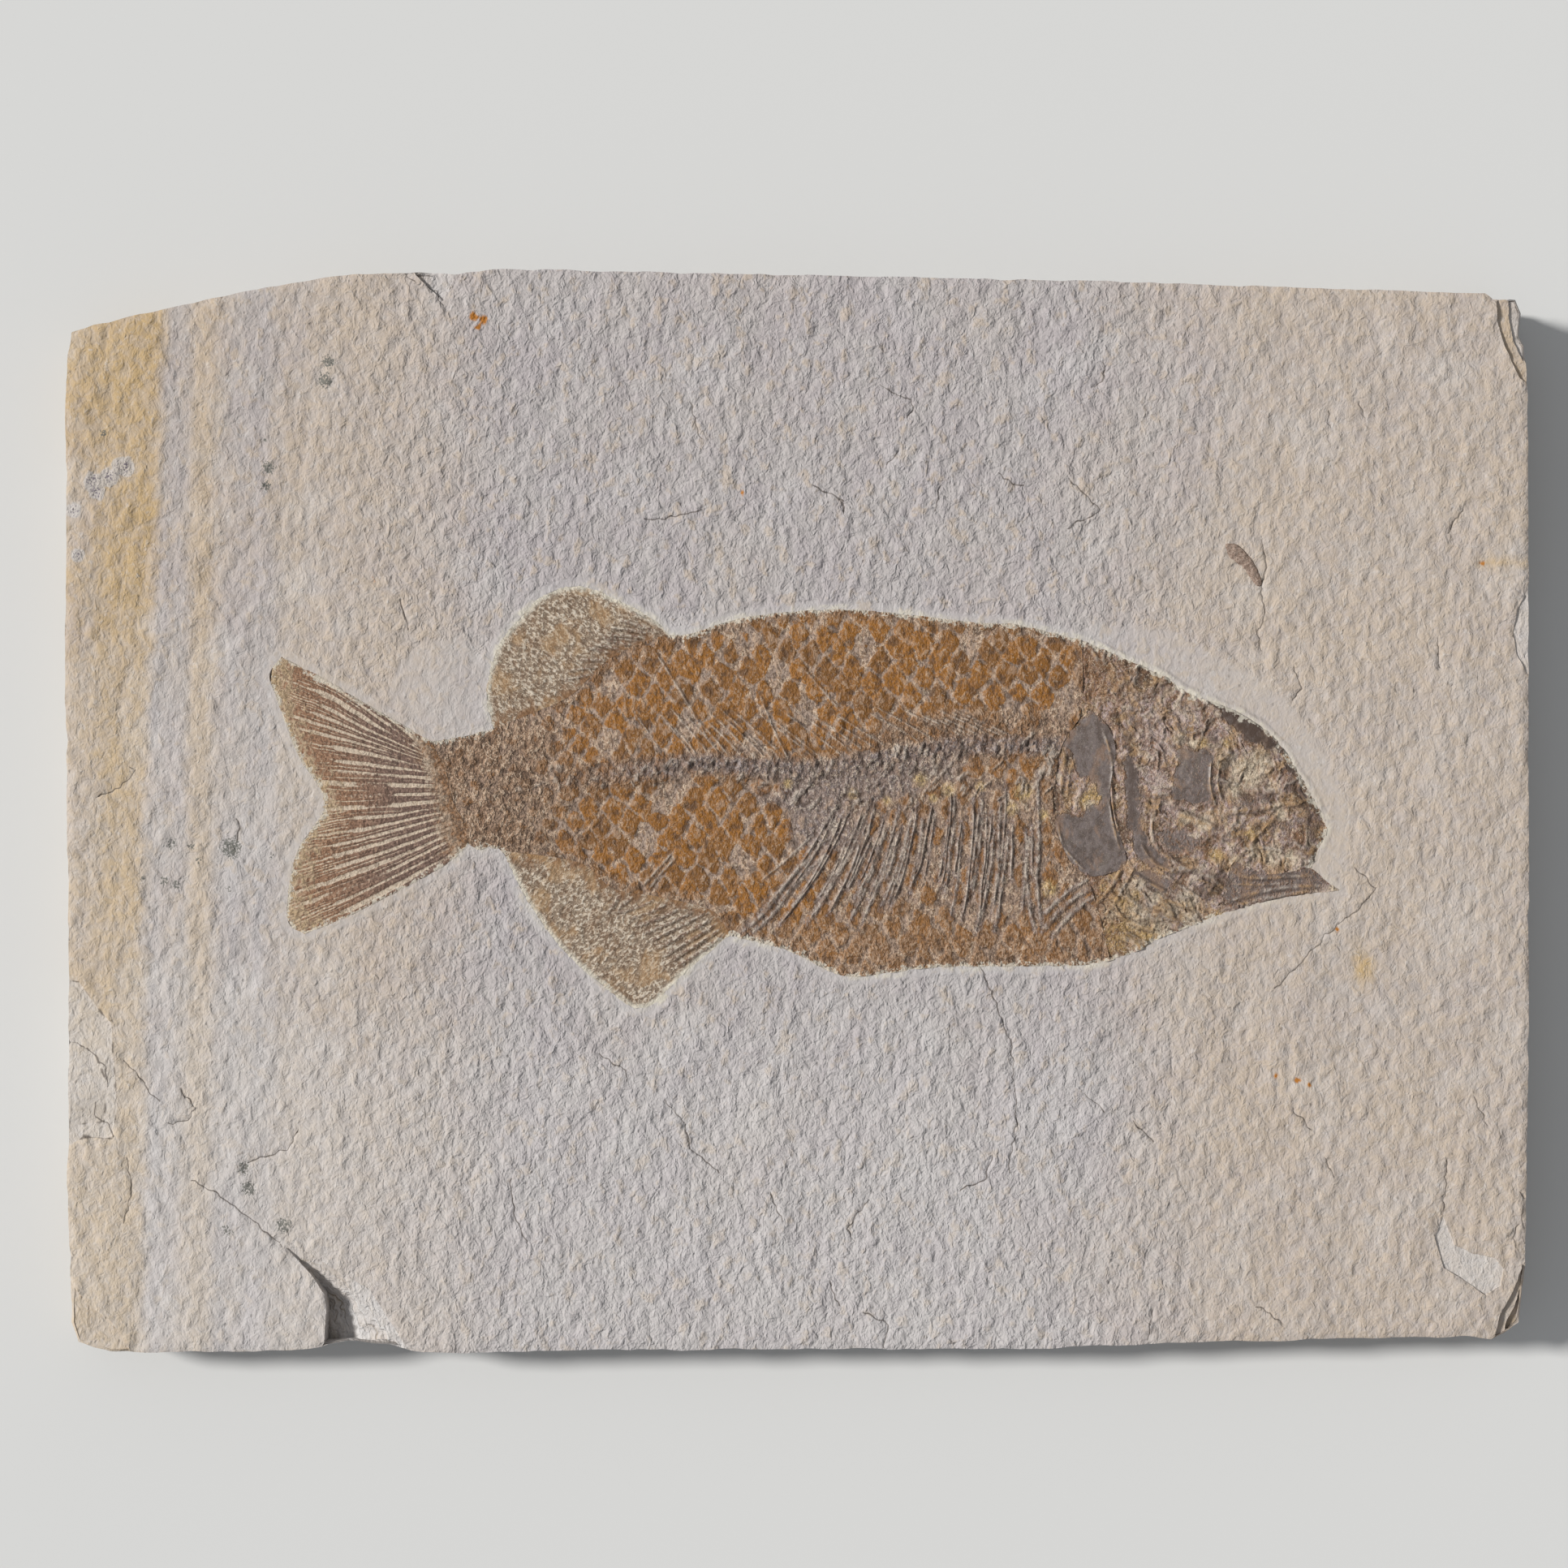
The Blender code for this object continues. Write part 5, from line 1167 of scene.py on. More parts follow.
def flank(x, y):
    """Everything the flank's relief and colour are made of, at each point."""
    spine = np.interp(x, *np.transpose(BACKBONE))
    room = np.where(y > spine, np.interp(x, *TOP_LINE) - spine, spine - np.interp(x, *LOW_LINE))
    t = (y - spine) / (np.maximum(room, 5.0) / 36.0) ** 0.35
    t = t + 0.35 * swell(x, y, 9.0, 81) + 0.4 * swell(x, y, 3.4, 96)
    s = x + 0.35 * swell(x, y, 8.0, 82) + 0.35 * swell(x, y, 3.1, 95) + 0.10 * t
    within, off, dx, dy, tint, fate = cells(s, t, SCALE_LENGTH, SCALE_ROW, 1.4, 1.0, 83)
    ragged = 0.3 * swell(x, y, 1.5, 84) + 0.2 * swell(x, y, 0.8, 85) + 0.35 * swell(x, y, 6.5, 89)
    rear = eased(x + 6.0 * swell(x, y, 7.0, 79), -48.0, -72.0)
    rib_zone = eased(x, 4.0, 14.0) * eased(np.abs(y + 9.0), 24.0, 14.0)
    vein = 0.4 * rib_zone + 1.3 * rear + 0.3 * eased(room - np.abs(y - spine), 5.0, 0.0)
    merged = 0.4 * eased(swell(x, y, 5.5, 97), 0.1, 0.5)
    width = 0.24 + 0.3 * swell(x, y, 2.3, 99)
    plate = np.minimum(within - width, 3.0 - off) - vein + 0.7 * ragged + merged
    torn = eased(x, -3.5, 0.5) * eased(x, 19.0, 9.0) * eased(np.abs(y - 1.0), 12.5, 8.0)
    lost = np.maximum(torn, eased(fate, 0.93, 0.94))
    heap = eased(np.hypot((x - 15.0) / 27.0, (y - spine + 4.5) / 7.5) + 0.25 * swell(x, y, 4.0, 80),
                 1.1, 0.7)
    return dict(spine=spine, plate=plate - 2.0 * np.maximum(lost, 0.8 * heap), dx=dx, dy=dy,
                tint=tint, rear=rear, ribs=rib_zone, lost=torn, heap=heap, room=room)


def knobs(x, y, spine):
    """The backbone: a row of vertebrae, broken and uneven, fading towards the tail."""
    across = np.abs(y - spine) / (2.9 + 0.9 * swell(x, y, 3.0, 86))
    band = clipped(1.0 - across ** 2) * eased(x, -62.0, -25.0) * eased(x, 76.0, 66.0)
    beads = 0.5 + 0.5 * np.cos(2 * np.pi * (x + 1.3 * swell(x, y, 3.4, 87)) / VERTEBRA_LENGTH)
    chips = swell(x, 0.55 * y, 1.15, 88) + 0.6 * swell(x, y, 2.3, 90)
    return band, band * (0.14 * beads + 0.5 * chips + 0.1)


def hollow_of(x, y):
    """The crinkles of the film: how high each point of them is, about 0 in the middle."""
    return (0.9 * swell(x, 0.8 * y, 0.95, 91) + 1.4 * swell(x, 0.75 * y, 1.9, 92)
            + 1.6 * (np.abs(swell(x, 0.7 * y, 2.6, 93)) - 0.3))


def flank_top(x, y):
    parts = flank(x, y)
    z = body_top(x, y)
    rough = 0.1 * hollow_of(x, y)
    plate = eased(parts["plate"], -0.25, 0.5)
    z = z + plate * (SCALE_LIFT - 0.05 * parts["dx"] + 0.02 * parts["dy"])
    z = z + rough * (1.35 - 0.65 * plate + 1.1 * parts["heap"])
    z = z + knobs(x, y, parts["spine"])[1]
    z = z - 0.16 * parts["lost"]
    lump = np.hypot((x - LUMP[0]) / 1.7, (y - LUMP[1]) / 2.3)
    z = z + 0.7 * np.sqrt(clipped(1.0 - lump ** 2))
    return z + raised(flank_lines + flank_slivers, x, y)[0]


trunk = skinned("scaled_flank", trunk_loop, bone_points(trunk_loop, flank_lines, 101), flank_top,
                [FISH_BED])
x, y, z = plan_of(trunk)
parts = flank(x, y)
_, pale, dark = raised(flank_lines + flank_slivers, x, y)
for name in ("plate", "tint", "lost", "heap"):
    stain(trunk, name, parts[name])
stain(trunk, "pale", pale)
stain(trunk, "dark", dark)
stain(trunk, "spine", knobs(x, y, parts["spine"])[0])
above = y - parts["spine"]
low_belly = eased(y + 2.0 * swell(x, y, 6.0, 98), -24.0, -34.0) * eased(x, -20.0, 2.0)
stain(trunk, "dull", np.maximum.reduce([
    0.9 * parts["rear"], 0.3 * parts["ribs"], 0.3 * low_belly,
    0.6 * eased(reach(trunk_loop, x, y, 8.0), 3.6, 0.2), 0.6 * eased(np.abs(above), 5.0, 2.0),
    0.7 * eased(x, 5.0, 25.0) * eased(np.abs(above - 2.0), 9.0, 4.0)]))
# The film's crinkle height, kept for the colour: painted shade in its hollows, painted light on its
# crests
stain(trunk, "hollow", hollow_of(x, y) + 0.35 * parts["rear"] * swell(x, y, 1.4, 94))
stain(trunk, "bundle", bundled(rib_lines + FLANK_BONES[4:8] + FLANK_BONES[11:], x, y, 1.0))
stain(trunk, "belly", low_belly)
stain(trunk, "gold", spots(FLANK_GOLD, x, y))
stain_margin(trunk)

SCALE_ORANGE = srgb(146, 94, 22)
SCALE_DEEP = srgb(122, 80, 28)
SCALE_RED = srgb(132, 94, 60)
VEIN_PINK_AND_HIGHLIGHT = srgb(178, 150, 126)
VEIN_LILAC = srgb(158, 138, 124)
BODY_BROWN = srgb(126, 98, 74)
BODY_DARK_AND_SHADE = srgb(66, 50, 40)
BONE_PALE = srgb(180, 168, 156)
SPINE_DARK = srgb(106, 93, 90)
SPINE_PALE = srgb(154, 142, 140)
BUNDLE_BROWN = srgb(100, 80, 72)
FLANK_YELLOW = srgb(196, 168, 116)
PAINTED_GLINT = srgb(200, 184, 164)

scales, tree, shader = new_finish("scales")
grain, fine, _ = use_grit(tree, 0.6, 0.85)
dust, dust_fine, _ = use_grit(tree, 1.7, 2.3)
blotch, _, _ = use_grit(tree, 7.0, 9.0)
dull = field(tree, "dull")
worn = coat(ramp(grain, 0.4, 0.6), BODY_BROWN, SCALE_RED)
dulled = times(dull, ramp(blotch, 0.4, 0.6, 0.6, 1.2))
veins = coated(VEIN_LILAC, (ramp(dust, 0.42, 0.6), VEIN_PINK_AND_HIGHLIGHT),
               (ramp(grain, 0.5, 0.38, 0.0, 0.6), BODY_BROWN))
whole = coated(SCALE_DEEP, (ramp(plus(field(tree, "tint"), dust), 0.55, 1.3), SCALE_ORANGE),
               (ramp(dust_fine, 0.48, 0.62, 0.0, 0.65), SCALE_RED), (dulled, worn))
uneven = plus(times(minus(grain, 0.5), 1.3), times(minus(dust, 0.5), 1.3))
plate = plus(field(tree, "plate"), uneven)
bare = most_of(field(tree, "heap"), field(tree, "lost"))
bare = most_of(bare, times(field(tree, "spine"), 1.3))
hollow = plus(field(tree, "hollow"), minus(grain, 0.5))
rumpled = ramp(plate, 0.0, 0.4, 1.0, 0.45)
# Thin dark lines of painted shade in the film's creases, and thin pale lines of painted glint
crease_shade = times(lines_at(grain, 0.46, 0.055), ramp(dust_fine, 0.42, 0.58, 0.2, 0.8))
painted_glints = times(lines_at(grain, 0.56, 0.05), ramp(dust, 0.46, 0.6, 0.05, 0.8))
colour = coated(
    veins,
    (ramp(plate, -0.16, 0.24), whole),
    (times(dulled, 0.7), coat(ramp(grain, 0.42, 0.6), BODY_BROWN, SCALE_RED)),
    (times(bare, ramp(dust, 0.4, 0.56, 0.45, 0.95)),
     coat(ramp(dust_fine, 0.46, 0.6), SPINE_DARK, SPINE_PALE)),
    (patchy("bundle", dust, 0.38, 0.52, 0.35, 0.85),
     coat(ramp(dust_fine, 0.44, 0.58), BUNDLE_BROWN, SPINE_PALE)),
    (patchy("gold", dust_fine, 0.36, 0.52, 0.1, 0.9), FLANK_YELLOW),
    (patchy("belly", grain, 0.42, 0.58, 0.0, 0.4), VEIN_PINK_AND_HIGHLIGHT),
    # Painted shade in the crinkles' hollows and painted light on their crests
    (ramp(hollow, -0.3, -1.2, 0.0, 0.55), BODY_DARK_AND_SHADE),
    (ramp(hollow, 0.4, 1.2, 0.0, 0.5), VEIN_PINK_AND_HIGHLIGHT),
    # Painted shadow beside the raised bones, with their fainter dark lines
    (patchy("dark", dust, 0.4, 0.52, 0.4, 0.95), BODY_DARK_AND_SHADE),
    (patchy("pale", dust, 0.42, 0.56, 0.2, 0.85), BONE_PALE),
    # Painted crease shade and painted glints, kept off the whole plates
    (times(crease_shade, rumpled), BODY_DARK_AND_SHADE),
    # The same painted crease shade and glints, coarser, in the dull zones
    (times(times(lines_at(dust, 0.47, 0.035), dull), 0.5), BODY_DARK_AND_SHADE),
    (times(times(lines_at(dust, 0.55, 0.035), dull), 0.6), VEIN_PINK_AND_HIGHLIGHT),
    (times(painted_glints, rumpled), PAINTED_GLINT))
relief = mixed((grain, 0.4), (fine, 0.1), (dust, 0.45))
relief = plus(relief, times(dull, mixed((dust, 1.3), (grain, 0.3))))
finish_off(shader, frayed(colour), ramp(plate, -0.1, 0.3, 0.75, 0.55), 0.4, relief)
set_piece(trunk, scales, "scales", "trunk")

# ---- The skull ---------------------------------------------------------------------------
# The roof, the eye socket, the cheek and the upper jaw, crushed flat together: smooth dark
# plates among splinters of ochre, cream and lilac bone, with the rays of the throat below.
JAW_TOP = [(102.9, -26.2), (104.7, -19.8), (107.7, -12.6), (115.7, -15.6), (126.5, -14.0)]
GILL_FRONT = [(71.3, -16.2), (76.1, -15.6), (80.9, -12.4), (77.7, -1.6), (77.1, 6.4),
              (78.3, 14.4), (76.7, 20.2), (72.3, 24.6), (69.5, 22.8)]

# Smooth plates: (height, darkness, outline)
SKULL_PLATES = [
    (0.6, 1.0, [(101.0, 27.4), (104.4, 27.0), (110.6, 23.2), (116.7, 18.2), (120.2, 14.2),
                (115.7, 15.8), (110.6, 17.2), (107.0, 21.0), (103.6, 24.6)]),
    (0.45, 1.0, [(119.9, 12.2), (123.0, 9.8), (124.4, 7.2), (122.0, 8.4)]),
    (0.45, 0.85, [(93.7, 15.4), (100.3, 15.0), (103.5, 13.4), (102.3, 8.0), (103.6, 3.4),
                  (98.5, 1.0), (92.7, 2.6), (91.7, 5.8)]),
    (0.35, 0.75, [(88.5, -5.0), (92.7, -3.8), (100.3, -7.0), (98.1, -9.8), (91.7, -10.8),
                  (88.5, -8.2)]),
    (0.6, 0.7, [(105.6, 0.4), (114.5, 1.6), (121.5, 3.4), (122.3, 4.6), (112.6, 3.6),
                (105.6, 2.2)]),
    (0.4, 0.65, [(114.7, -2.2), (123.7, -1.4), (120.1, -5.0), (116.4, -6.2)]),
    (0.5, 0.55, [(112.6, -3.4), (114.4, -2.0), (109.0, -9.8), (104.0, -15.0), (101.5, -15.4),
                 (106.0, -9.0)]),
    (0.45, 0.92, [(80.5, 17.8), (83.1, 11.8), (84.5, 5.8), (84.9, -4.6), (86.9, -8.6),
                 (92.8, -13.8), (91.4, -15.8), (84.1, -12.6), (82.1, -8.2), (80.7, -1.6),
                 (80.5, 5.8)]),
    (0.3, 0.85, [(81.9, -13.4), (86.5, -14.6), (92.3, -17.2), (91.0, -20.6), (86.0, -18.4),
                 (82.4, -16.2)]),
]
SHADED_PLATES = [SKULL_PLATES[0], SKULL_PLATES[1]] + [
    (0.0, 0.7, [(101.0, 18.0), (104.0, 14.5), (104.5, 4.0), (106.5, 4.0), (106.0, 14.0),
                (103.0, 19.0)]),
    (0.0, 0.6, [(106.0, 2.4), (122.0, 4.0), (122.5, 5.4), (106.0, 4.0)]),
    (0.0, 0.7, [(99.0, -16.0), (108.0, -14.0), (106.0, -19.0), (100.0, -23.0)]),
    (0.0, 0.75, [(122.0, 9.5), (125.0, 6.5), (128.8, -2.5), (127.8, -8.0), (128.2, -12.5),
                 (125.6, -13.0), (125.4, -6.0), (124.4, 0.0), (121.0, 6.0)]),
    (0.0, 0.6, [(80.0, 20.0), (81.6, 8.0), (80.4, -6.0), (82.4, -6.0), (83.4, 8.0), (82.0, 20.0)]),
]
ORBIT_CENTRE = (111.9, 9.0)
ORBIT_RADII = (6.9, 5.6)
ORBIT_DEPTH = 0.45
# Slender bones: (path, half width, height)
SKULL_LINES = [
    ([(77.6, 12.0), (77.4, 4.0), (78.6, -4.0), (80.6, -12.0)], 0.35, 0.4),
    ([(104.0, -0.6), (112.0, 0.4), (120.0, 1.6), (125.5, 2.2)], 0.6, 0.4),
    ([(92.6, -0.4), (98.0, -2.4), (103.6, -5.0)], 0.75, 0.4),
    ([(119.0, 0.2), (113.0, -6.4), (106.0, -14.0)], 0.5, 0.4),
    ([(101.8, 12.6), (101.6, 6.0), (103.2, 0.6)], 0.35, 0.35),
    ([(104.6, 13.0), (103.4, 7.6), (104.6, 2.0)], 0.3, 0.3),
    ([(87.4, -1.0), (87.8, -8.0), (93.2, -13.0), (97.0, -15.0)], 0.45, 0.35),
    ([(84.4, -8.0), (88.0, -13.0), (93.4, -15.4)], 0.4, 0.35),
    ([(83.0, -18.0), (91.0, -22.0), (99.0, -24.4)], 0.5, 0.4),
    ([(78.4, -19.6), (86.0, -24.2), (94.6, -27.2)], 0.55, 0.45),
    ([(77.6, -24.6), (84.0, -28.4), (88.6, -29.4)], 0.45, 0.35),
    ([(82.0, -15.0), (90.0, -19.6), (98.0, -22.0)], 0.4, 0.35),
    ([(88.0, -14.0), (95.0, -19.0), (101.0, -22.6)], 0.35, 0.3),
    ([(80.0, -13.6), (77.0, -19.0), (72.4, -24.4)], 0.45, 0.35),
    ([(83.5, -13.0), (79.0, -21.0), (75.0, -27.0)], 0.4, 0.3),
    ([(110.0, -9.8), (115.0, -9.0), (121.0, -10.4)], 0.35, 0.25),
]
SKULL_ROOF = [(72.0, 40.0), (92.0, 32.0), (106.0, 23.0), (104.0, 14.0), (90.0, 0.0),
              (79.0, -2.0), (79.0, 20.0)]
SNOUT = [(105.0, 14.0), (116.0, 16.0), (128.0, -2.0), (126.0, -13.0), (104.0, -14.0),
         (92.0, -6.0)]
THROAT_AREA = [(80.0, -13.0), (104.0, -14.0), (101.0, -25.0), (80.0, -35.0), (75.0, -22.0)]
skull_slivers = (slivers(SKULL_ROOF, 52, 151, 1.0, 2.0, (3.0, 11.0), (0.15, 0.5))
                 + slivers(SNOUT, 36, 153, 0.6, 1.8, (2.5, 8.0), (0.15, 0.45))
                 + slivers(THROAT_AREA, 34, 155, -0.5, 0.7, (3.0, 12.0), (0.2, 0.5)))
TEETH = [(111.0 + 1.45 * i, -11.4 - 0.16 * i) for i in range(10)]

skull_loop = loop_of(*map(bone_curve, (CROWN, JAW_TOP[::-1], THROAT, NECK_LOW[::-1],
                                       GILL_FRONT, NECK_TOP[::-1])))


def plates_at(outlines, x, y):
    """How high and how dark the smooth plates are, with ragged edges."""
    high, smooth_part = np.zeros(x.shape), np.zeros(x.shape)
    ragged = 0.9 * swell(x, y, 2.6, 111) + 0.4 * swell(x, y, 1.0, 112)
    for rise, darkness, outline in outlines:
        share = eased(depth_in(outline, x, y, 2.5) + ragged, -1.0, 1.0)
        high = np.maximum(high, rise * share)
        smooth_part = np.maximum(smooth_part, darkness * share)
    return high, smooth_part


def crushed(x, y, seed):
    """Crushed bone: splinters that wander along the bone, broken across here and there. Gives
    the height, a tint for each bit, and the cracks."""
    u = x + 3.4 * swell(x, y, 8.0, seed) + 1.3 * swell(x, y, 3.0, seed + 1)
    v = y + 3.4 * swell(x, y, 9.0, seed + 2) + 1.3 * swell(x, y, 3.2, seed + 3)
    strand = np.abs(swell(u, 0.55 * v, 1.7, seed + 4))
    fine_strand = np.abs(swell(u + 0.3 * v, 0.6 * v, 0.8, seed + 5))
    within, _, dx, _, tint, tilt = cells(u, v, 2.1, 2.6, 1.5, 0.9, seed + 6)
    crack = np.maximum(eased(within, 0.16, 0.0), eased(strand, 0.1, 0.0))
    height = (0.5 * strand + 0.26 * fine_strand + 0.26 * (tilt - 0.5) * dx
              + 0.2 * swell(x, y, 4.0, seed + 7) - 0.14 * crack - 0.16)
    flow = clipped(0.5 + 0.8 * swell(u, 0.7 * v, 2.6, seed + 8))
    return height, 0.4 * tint + 0.6 * flow, crack


def skull_top(x, y):
    high, plain = plates_at(SKULL_PLATES, x, y)
    height, _, _ = crushed(x, y, 120)
    z = body_top(x, y) + high + height * (1.0 - 0.9 * np.minimum(plain * 1.3, 1.0))
    orbit = np.hypot((x - ORBIT_CENTRE[0]) / ORBIT_RADII[0], (y - ORBIT_CENTRE[1]) / ORBIT_RADII[1])
    z = z - ORBIT_DEPTH * eased(orbit, 1.05, 0.85)
    for tx, ty in TEETH:
        z = z + 0.3 * np.exp(-((x - tx) / 0.42) ** 2 - ((y - ty) / 1.1) ** 2)
    z = z + raised(SKULL_LINES, x, y)[0]
    z = z + raised(skull_slivers, x, y)[0] * (1.0 - 0.9 * plain)
    return z + 0.03 * swell(x, y, 0.8, 113)


skull = skinned("skull_bones", skull_loop, bone_points(skull_loop, SKULL_LINES, 102), skull_top,
                [FISH_BED])
CREAM_SPOTS = [(111.0, 9.6, 6.4), (113.5, 11.5, 5.0), (107.5, 6.0, 4.0), (105.0, 12.0, 3.0),
               (100.0, -3.0, 3.0), (95.5, -1.6, 2.4), (117.0, -11.0, 3.6), (112.5, -10.0, 3.0),
               (121.5, -11.5, 3.0), (94.0, 18.0, 2.4), (97.5, 16.8, 2.0), (119.0, -1.0, 2.2),
               (118.0, 1.0, 2.0), (108.0, -12.5, 2.4), (84.0, -17.0, 3.4), (97.0, -26.0, 3.6),
               (92.0, -24.5, 3.4), (88.0, -21.0, 3.4), (81.0, -19.5, 3.0), (90.0, -29.0, 3.6),
               (84.0, -26.0, 4.6), (96.0, -22.0, 4.0), (77.5, -25.0, 3.6)]
GOLD_SPOTS = [(79.0, -29.5, 8.0), (75.0, -33.0, 6.0), (86.0, -30.5, 6.0), (80.5, -23.0, 6.0),
              (78.0, -15.6, 2.4), (100.0, 16.5, 2.4), (106.0, 16.4, 2.6), (83.0, -21.0, 3.0),
              (75.5, -19.0, 2.4), (112.0, -5.5, 2.6), (103.0, -11.0, 2.6)]
LILAC_SPOTS = [(95.0, 21.0, 7.0), (89.0, 17.0, 7.0), (88.0, 8.0, 5.0), (90.5, 0.5, 5.0),
               (103.0, 19.0, 4.0), (86.0, 25.0, 6.0), (109.0, 1.2, 3.0), (99.0, -17.0, 5.0),
               (120.0, 6.0, 3.0), (96.0, -20.0, 3.0)]


def stain_bone(piece, plates, lines, splinters, seed, gold, cream, lilac):
    """What the finish of crushed bone reads, apart from the margin."""
    x, y, _ = plan_of(piece)
    _, tint, crack = crushed(x, y, seed)
    plain = plates_at(plates, x, y)[1]
    _, pale, dark = raised(lines, x, y)
    _, splinter_pale, splinter_dark = raised(splinters, x, y)
    pale = np.maximum(pale, 0.8 * splinter_pale * (1.0 - plain))
    dark = np.maximum(dark, 0.75 * splinter_dark * (1.0 - plain))
    for name, values in (("plate", plain), ("tint", tint), ("crack", crack), ("pale", pale),
                         ("dark", dark), ("gold", spots(gold, x, y)),
                         ("cream", spots(cream, x, y)), ("lilac", spots(lilac, x, y))):
        stain(piece, name, values)


stain_bone(skull, SKULL_PLATES, SKULL_LINES, skull_slivers, 120, GOLD_SPOTS, CREAM_SPOTS,
           LILAC_SPOTS)
stain_margin(skull)
x, y, _ = plan_of(skull)
stain(skull, "shade", plates_at(SHADED_PLATES, x, y)[1])
stain(skull, "red", eased(x + 2.5 * swell(x, y, 5.0, 131), 90.0, 72.0)
      * eased(np.abs(y - 6.0), 15.0, 24.0))

PLATE_GREY = srgb(108, 98, 95)
PLATE_DARK = srgb(86, 76, 72)
BONE_BROWN = srgb(140, 110, 90)
BONE_OCHRE = srgb(172, 138, 98)
BONE_GOLD = srgb(184, 153, 98)
BONE_CREAM = srgb(204, 188, 164)
BONE_LILAC = srgb(176, 158, 156)
BONE_DARK_AND_SHADOW = srgb(72, 56, 46)


def crushed_bone(name):
    """The finish of crushed bone, which the skull, the gill cover and the jaw share."""
    finish, tree, shader = new_finish(name)
    grain, fine, _ = use_grit(tree, 0.55, 0.75, 0.2)
    dust, dust_fine, _ = use_grit(tree, 1.7, 2.2, 0.2)
    patch, _, _ = use_grit(tree, 4.5, 5.5)
    own = field(tree, "tint")
    tint = plus(own, times(dust, 1.2))
    plate = ramp(plus(field(tree, "plate"), dust_fine), 0.78, 1.4)
    plate_tone = coated(PLATE_DARK, (ramp(dust, 0.38, 0.62), PLATE_GREY),
                        (ramp(patch, 0.52, 0.64, 0.0, 0.45), BONE_BROWN),
                        (ramp(fine, 0.6, 0.68, 0.0, 0.5), BONE_PALE),
                        (ramp(plate, 0.95, 0.5, 0.0, 0.7), BONE_BROWN))
    colour = coated(
        BONE_BROWN,
        (ramp(tint, 0.85, 1.35), BONE_LILAC),
        (ramp(tint, 0.98, 0.78, 0.0, 0.6), BONE_DARK_AND_SHADOW),
        (times(ramp(dust_fine, 0.52, 0.64), 0.6), BONE_OCHRE),
        (ramp(own, 0.62, 0.85, 0.0, 0.7), BONE_CREAM),
        (ramp(own, 0.36, 0.16, 0.0, 0.75), BONE_DARK_AND_SHADOW),
        (ramp(patch, 0.48, 0.62, 0.0, 0.7), BONE_OCHRE),
        (ramp(patch, 0.5, 0.38, 0.0, 0.5), SCALE_RED),
        (times(patchy("lilac", dust_fine, 0.4, 0.56), 0.6), BONE_LILAC),
        (patchy("gold", dust, 0.34, 0.54, 0.3, 0.95), BONE_GOLD),
        (patchy("cream", dust, 0.36, 0.5, 0.3, 0.95), BONE_CREAM),
        (patchy("red", dust_fine, 0.4, 0.56, 0.3, 0.9), SCALE_RED),
        (times(patchy("crack", dust_fine, 0.42, 0.56), 0.8), BONE_DARK_AND_SHADOW),
        # Thin lines of painted crease shade and painted glints in the crushed bone
        (times(lines_at(grain, 0.45, 0.055), ramp(dust, 0.42, 0.56, 0.2, 0.7)), BONE_DARK_AND_SHADOW),
        (times(lines_at(grain, 0.56, 0.05), ramp(dust_fine, 0.45, 0.58, 0.1, 0.75)), PAINTED_GLINT),
        (times(plate, 0.92), plate_tone),
        (patchy("shade", dust, 0.34, 0.5, 0.3, 0.9), BONE_DARK_AND_SHADOW),
        # Painted shadow beside the raised bones and splinters, with their fainter dark lines
        (times(field(tree, "dark"), 0.7), BONE_DARK_AND_SHADOW),
        (patchy("pale", dust, 0.4, 0.58, 0.1, 0.7),
         coat(ramp(patch, 0.44, 0.54), BONE_PALE, BONE_OCHRE)))
    relief = mixed((grain, 0.45), (fine, 0.12), (dust, 0.3))
    relief = times(relief, ramp(plate, 0.0, 1.0, 1.0, 0.22))
    finish_off(shader, frayed(colour), ramp(plate, 0.0, 1.0, 0.7, 0.48), 0.4, relief)
    return finish


set_piece(skull, crushed_bone("skull bone"), "skull_bone", "skull")

# ---- The gill cover ----------------------------------------------------------------------
# Two smooth dark plates behind the cheek, worn through to rough ochre bone between them, with
# a thickened front edge. It lies against the skull and the flank.
GILL_PLATES = [
    (0.2, 0.95, [(72.3, 25.2), (68.5, 20.6), (64.2, 16.2), (67.7, 13.4), (69.4, 8.4),
                 (73.4, 6.6), (74.6, 1.6), (79.4, 0.4), (79.4, 14.4), (77.6, 20.6)]),
    (0.2, 0.95, [(62.6, -0.8), (69.1, -0.6), (74.3, 1.4), (79.4, 1.6), (80.8, -9.8),
                 (82.0, -12.4), (76.1, -16.6), (71.3, -16.8), (66.0, -11.8), (63.0, -6.6)]),
]
GILL_LINES = [
    ([(75.0, 20.4), (77.4, 12.0), (76.6, 4.0)], 0.3, 0.22),
    ([(76.6, 3.4), (77.6, -3.0), (79.4, -9.6)], 0.3, 0.26),
    ([(66.2, 15.0), (65.2, 9.0), (64.8, 3.4)], 0.45, 0.3),
    ([(68.4, 13.2), (66.8, 8.4), (66.4, 3.0)], 0.35, 0.25),
    ([(64.0, -2.4), (65.6, -9.0), (70.8, -14.8)], 0.3, 0.25),
]
gill_loop = loop_of(bone_curve(GILL_REAR), bone_curve(GILL_FRONT))


def gill_top(x, y):
    high, plain = plates_at(GILL_PLATES, x, y)
    height, _, _ = crushed(x, y, 160)
    z = body_top(x, y) + 0.05 + high + (height - 0.12) * (1.0 - 0.93 * plain)
    return z + raised(GILL_LINES, x, y)[0] + 0.05 * swell(x, y, 3.4, 163) * plain


gill_cover = skinned("gill_cover_plates", gill_loop, bone_points(gill_loop, GILL_LINES, 103),
                     gill_top, [FISH_BED])
stain_bone(gill_cover, GILL_PLATES, GILL_LINES, [], 160, [(71.5, 2.6, 3.4), (73.5, 4.0, 3.0)],
           [(72.0, 1.2, 2.0)], [(67.5, 7.0, 4.0), (70.0, 5.5, 4.0)])
stain_margin(gill_cover)
set_piece(gill_cover, crushed_bone("gill plate"), "gill_plate", "gill_cover")

